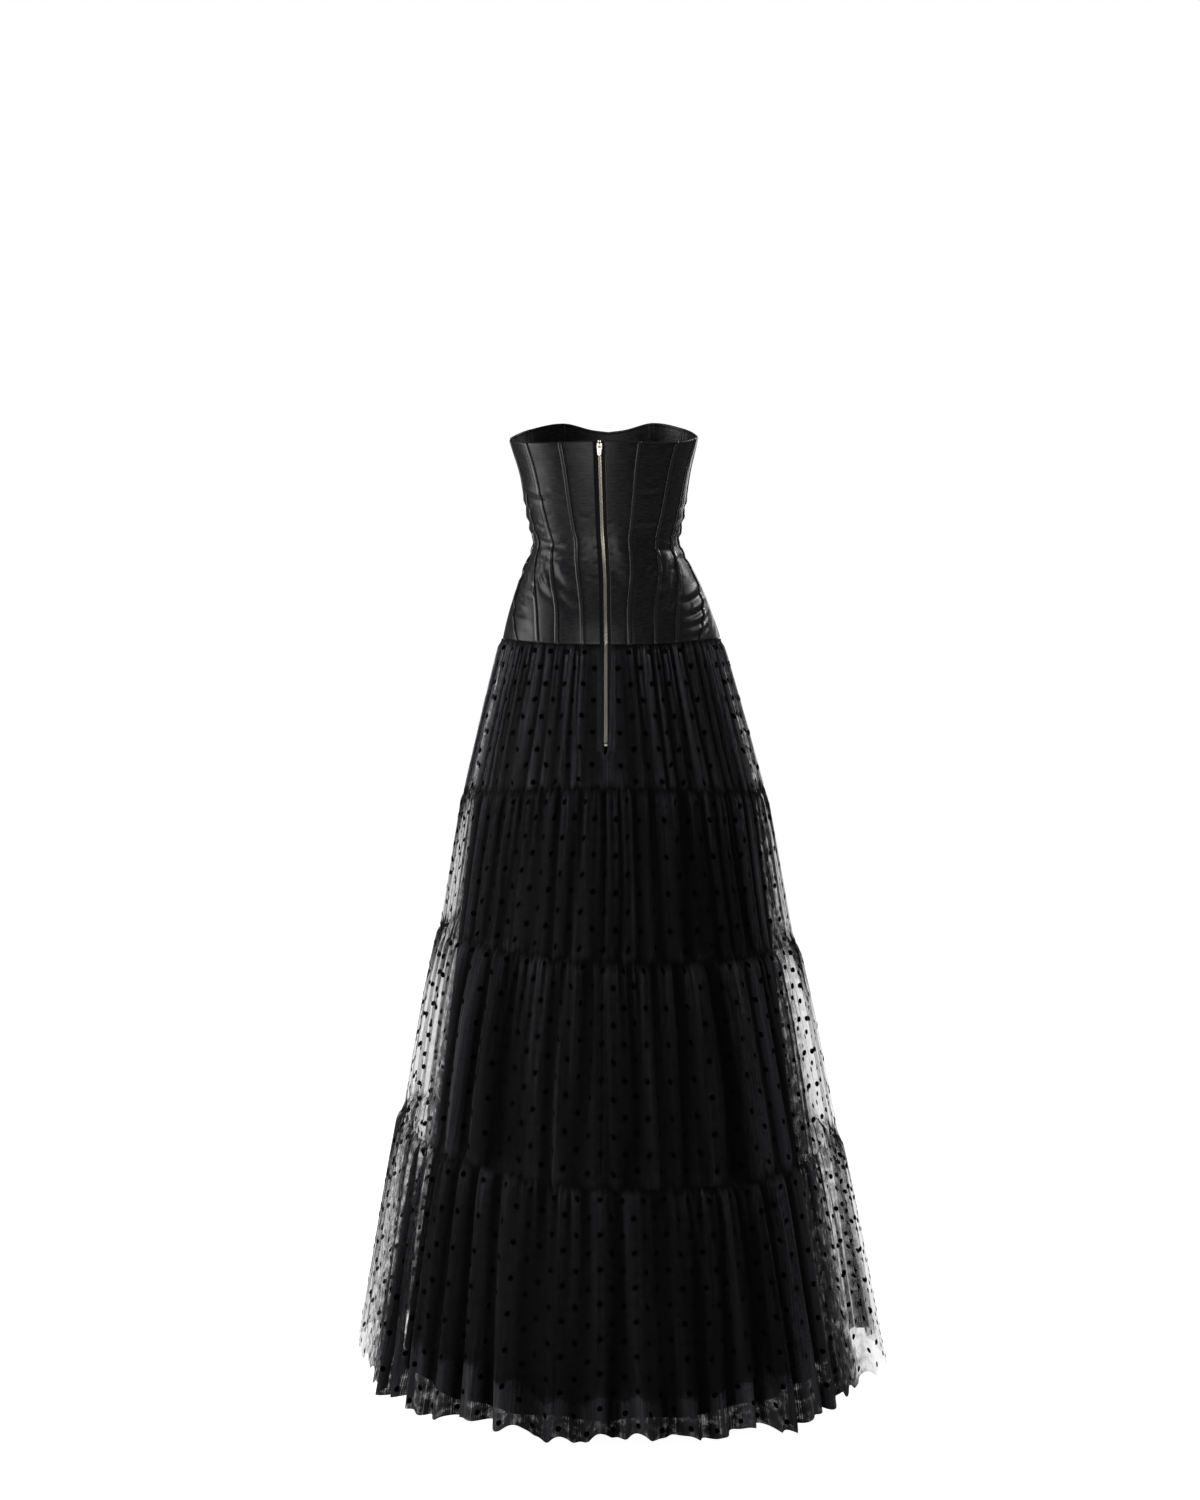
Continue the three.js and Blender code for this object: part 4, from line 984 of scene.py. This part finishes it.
for word, start, end, flat in UNDERSKIRT_PIECES:

    def place(across, down):
        apart = np.degrees(np.interp(down, CLOSES, (ZIP_HALF_OPENING, 0)) / LINING_RADIUS)
        spot = lerp(start + apart * (start == 0), end - apart * (end == 0), across)
        turn = uneven(spot, WAVES["phase"])
        z = lerp(level(0, turn) - UNDER_SATIN, UNDERSKIRT[0, 0], down)
        u = np.radians(spot)
        out = WAVES["swell"] * down * np.cos(WAVES["count"] * u)
        out = out + WAVES["small"] * down * np.cos(WAVES["small_count"] * u + 2 * down)
        ring = [np.interp(z, UNDERSKIRT[:, 0], UNDERSKIRT[:, k]) for k in (1, 2, 3, 4)]
        return ring_point(*ring, turn, out, z)

    columns = round(UNDERSKIRT_MESH[0] * (end - start) / 360)
    made = cloth(f"underskirt_{word}_lining", columns, UNDERSKIRT_MESH[1], place, flat)
    thicken(made, LINING_THICK)
    made.data.materials.append(lining)
    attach(made, "dress")
    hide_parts(f"underskirt_{word}")


# The studio
# A plain white floor a little below the hem, a white surround, and soft lamps: a large one on the
# left, others behind, in front and above, and a small one on the right for the hip's bright folds.

FLOOR = -1.225
sheet = bmesh.new()
bmesh.ops.create_grid(sheet, x_segments=1, y_segments=1, size=30)
floor = copies("floor", sheet, [Matrix.Translation((0, 0, FLOOR))])
# Studio paper, matt: its glow, which only the camera sees, keeps it white in the picture.
paper = new_material("white studio paper, matt")
where = node(paper, "TexCoord", {})
mottle = node(paper, "TexNoise", {"Scale": 3, "Detail": 2}, {"Vector": (where, "Object")})
tone = node(paper, "MixRGB", {"Color1": linear("#e9e9e9"), "Color2": linear("#f2f2f2")},
            {"Fac": (mottle, "Fac")})
rays = node(paper, "LightPath", {})
seen = node(paper, "Math", {"operation": "MULTIPLY", 1: 0.96}, {0: (rays, "Is Camera Ray")})
skin = node(paper, "BsdfPrincipled", {"Roughness": 0.9, "Emission Color": (1, 1, 1, 1)},
            {"Base Color": (tone, "Color"), "Emission Strength": (seen, 0)})
node(paper, "OutputMaterial", {}, {"Surface": (skin, "BSDF")})
floor.data.materials.append(paper)
floor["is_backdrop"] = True


def lamp(name, place, aim, wide, tall, power):
    light = bpy.data.lights.new(name, "AREA")
    light.shape, light.size, light.size_y, light.energy = "RECTANGLE", wide, tall, power
    made = placed(name, light)
    made.location = place
    made.rotation_euler = (Vector(aim) - Vector(place)).to_track_quat("-Z", "Y").to_euler()
    made.visible_camera = False


lamp("key", (3.3, 0.4, 0.45), (0, 0, -0.3), 2.0, 2.4, 52)
lamp("camera side", (0.9, 4.4, 0.5), (0, 0, -0.4), 2.4, 2.4, 40)
lamp("hip", (-1.9, -1.25, 1.45), (-0.1, 0.05, -0.1), 0.4, 0.5, 15)
lamp("front", (-1.1, -4.3, 0.6), (0, 0, -0.4), 2.4, 2.4, 34)
lamp("ceiling", (0, 0, 2.8), (0, 0, 0), 3.5, 3.5, 8)

# The surround is white for the camera and a dim light, so that black cloth keeps its depth.
world = bpy.data.worlds.new("white surround")
bpy.context.scene.world = world
world.use_nodes = True
surround = world.node_tree.nodes["Background"]
surround.inputs["Color"].default_value = (1, 1, 1, 1)
rays = world.node_tree.nodes.new("ShaderNodeLightPath")
strength = world.node_tree.nodes.new("ShaderNodeMapRange")
strength.inputs["To Min"].default_value = 0.1
strength.inputs["To Max"].default_value = 1.0
world.node_tree.links.new(rays.outputs["Is Camera Ray"], strength.inputs["Value"])
world.node_tree.links.new(strength.outputs["Result"], surround.inputs["Strength"])
bpy.context.scene.view_settings.view_transform = "Standard"

# The camera stands behind the dress, a little to its right, at hip height, and looks slightly down.
# Its sizes are degrees and metres, and its focal length is in pixels.
CAMERA = {"turn": 3.8, "away": 3.6, "height": -0.121, "tilt": 2.84, "yaw": 0.147, "focal": 2474}
FRAME_HIGH = 1500
eye = bpy.data.cameras.new("camera")
eye.sensor_fit = "VERTICAL"
eye.sensor_height = 36
eye.lens = CAMERA["focal"] / FRAME_HIGH * eye.sensor_height
camera = placed("camera", eye)
turn = math.radians(CAMERA["turn"])
camera.location = (-CAMERA["away"] * math.sin(turn), CAMERA["away"] * math.cos(turn),
                   CAMERA["height"])
camera.rotation_euler = (math.radians(90 - CAMERA["tilt"]), 0,
                         math.pi + turn + math.radians(CAMERA["yaw"]))
bpy.context.scene.camera = camera

boxes = {"cad": cad_box, "visual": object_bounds()}
boxes = {name: [[float(x) for x in corner] for corner in box] for name, box in boxes.items()}
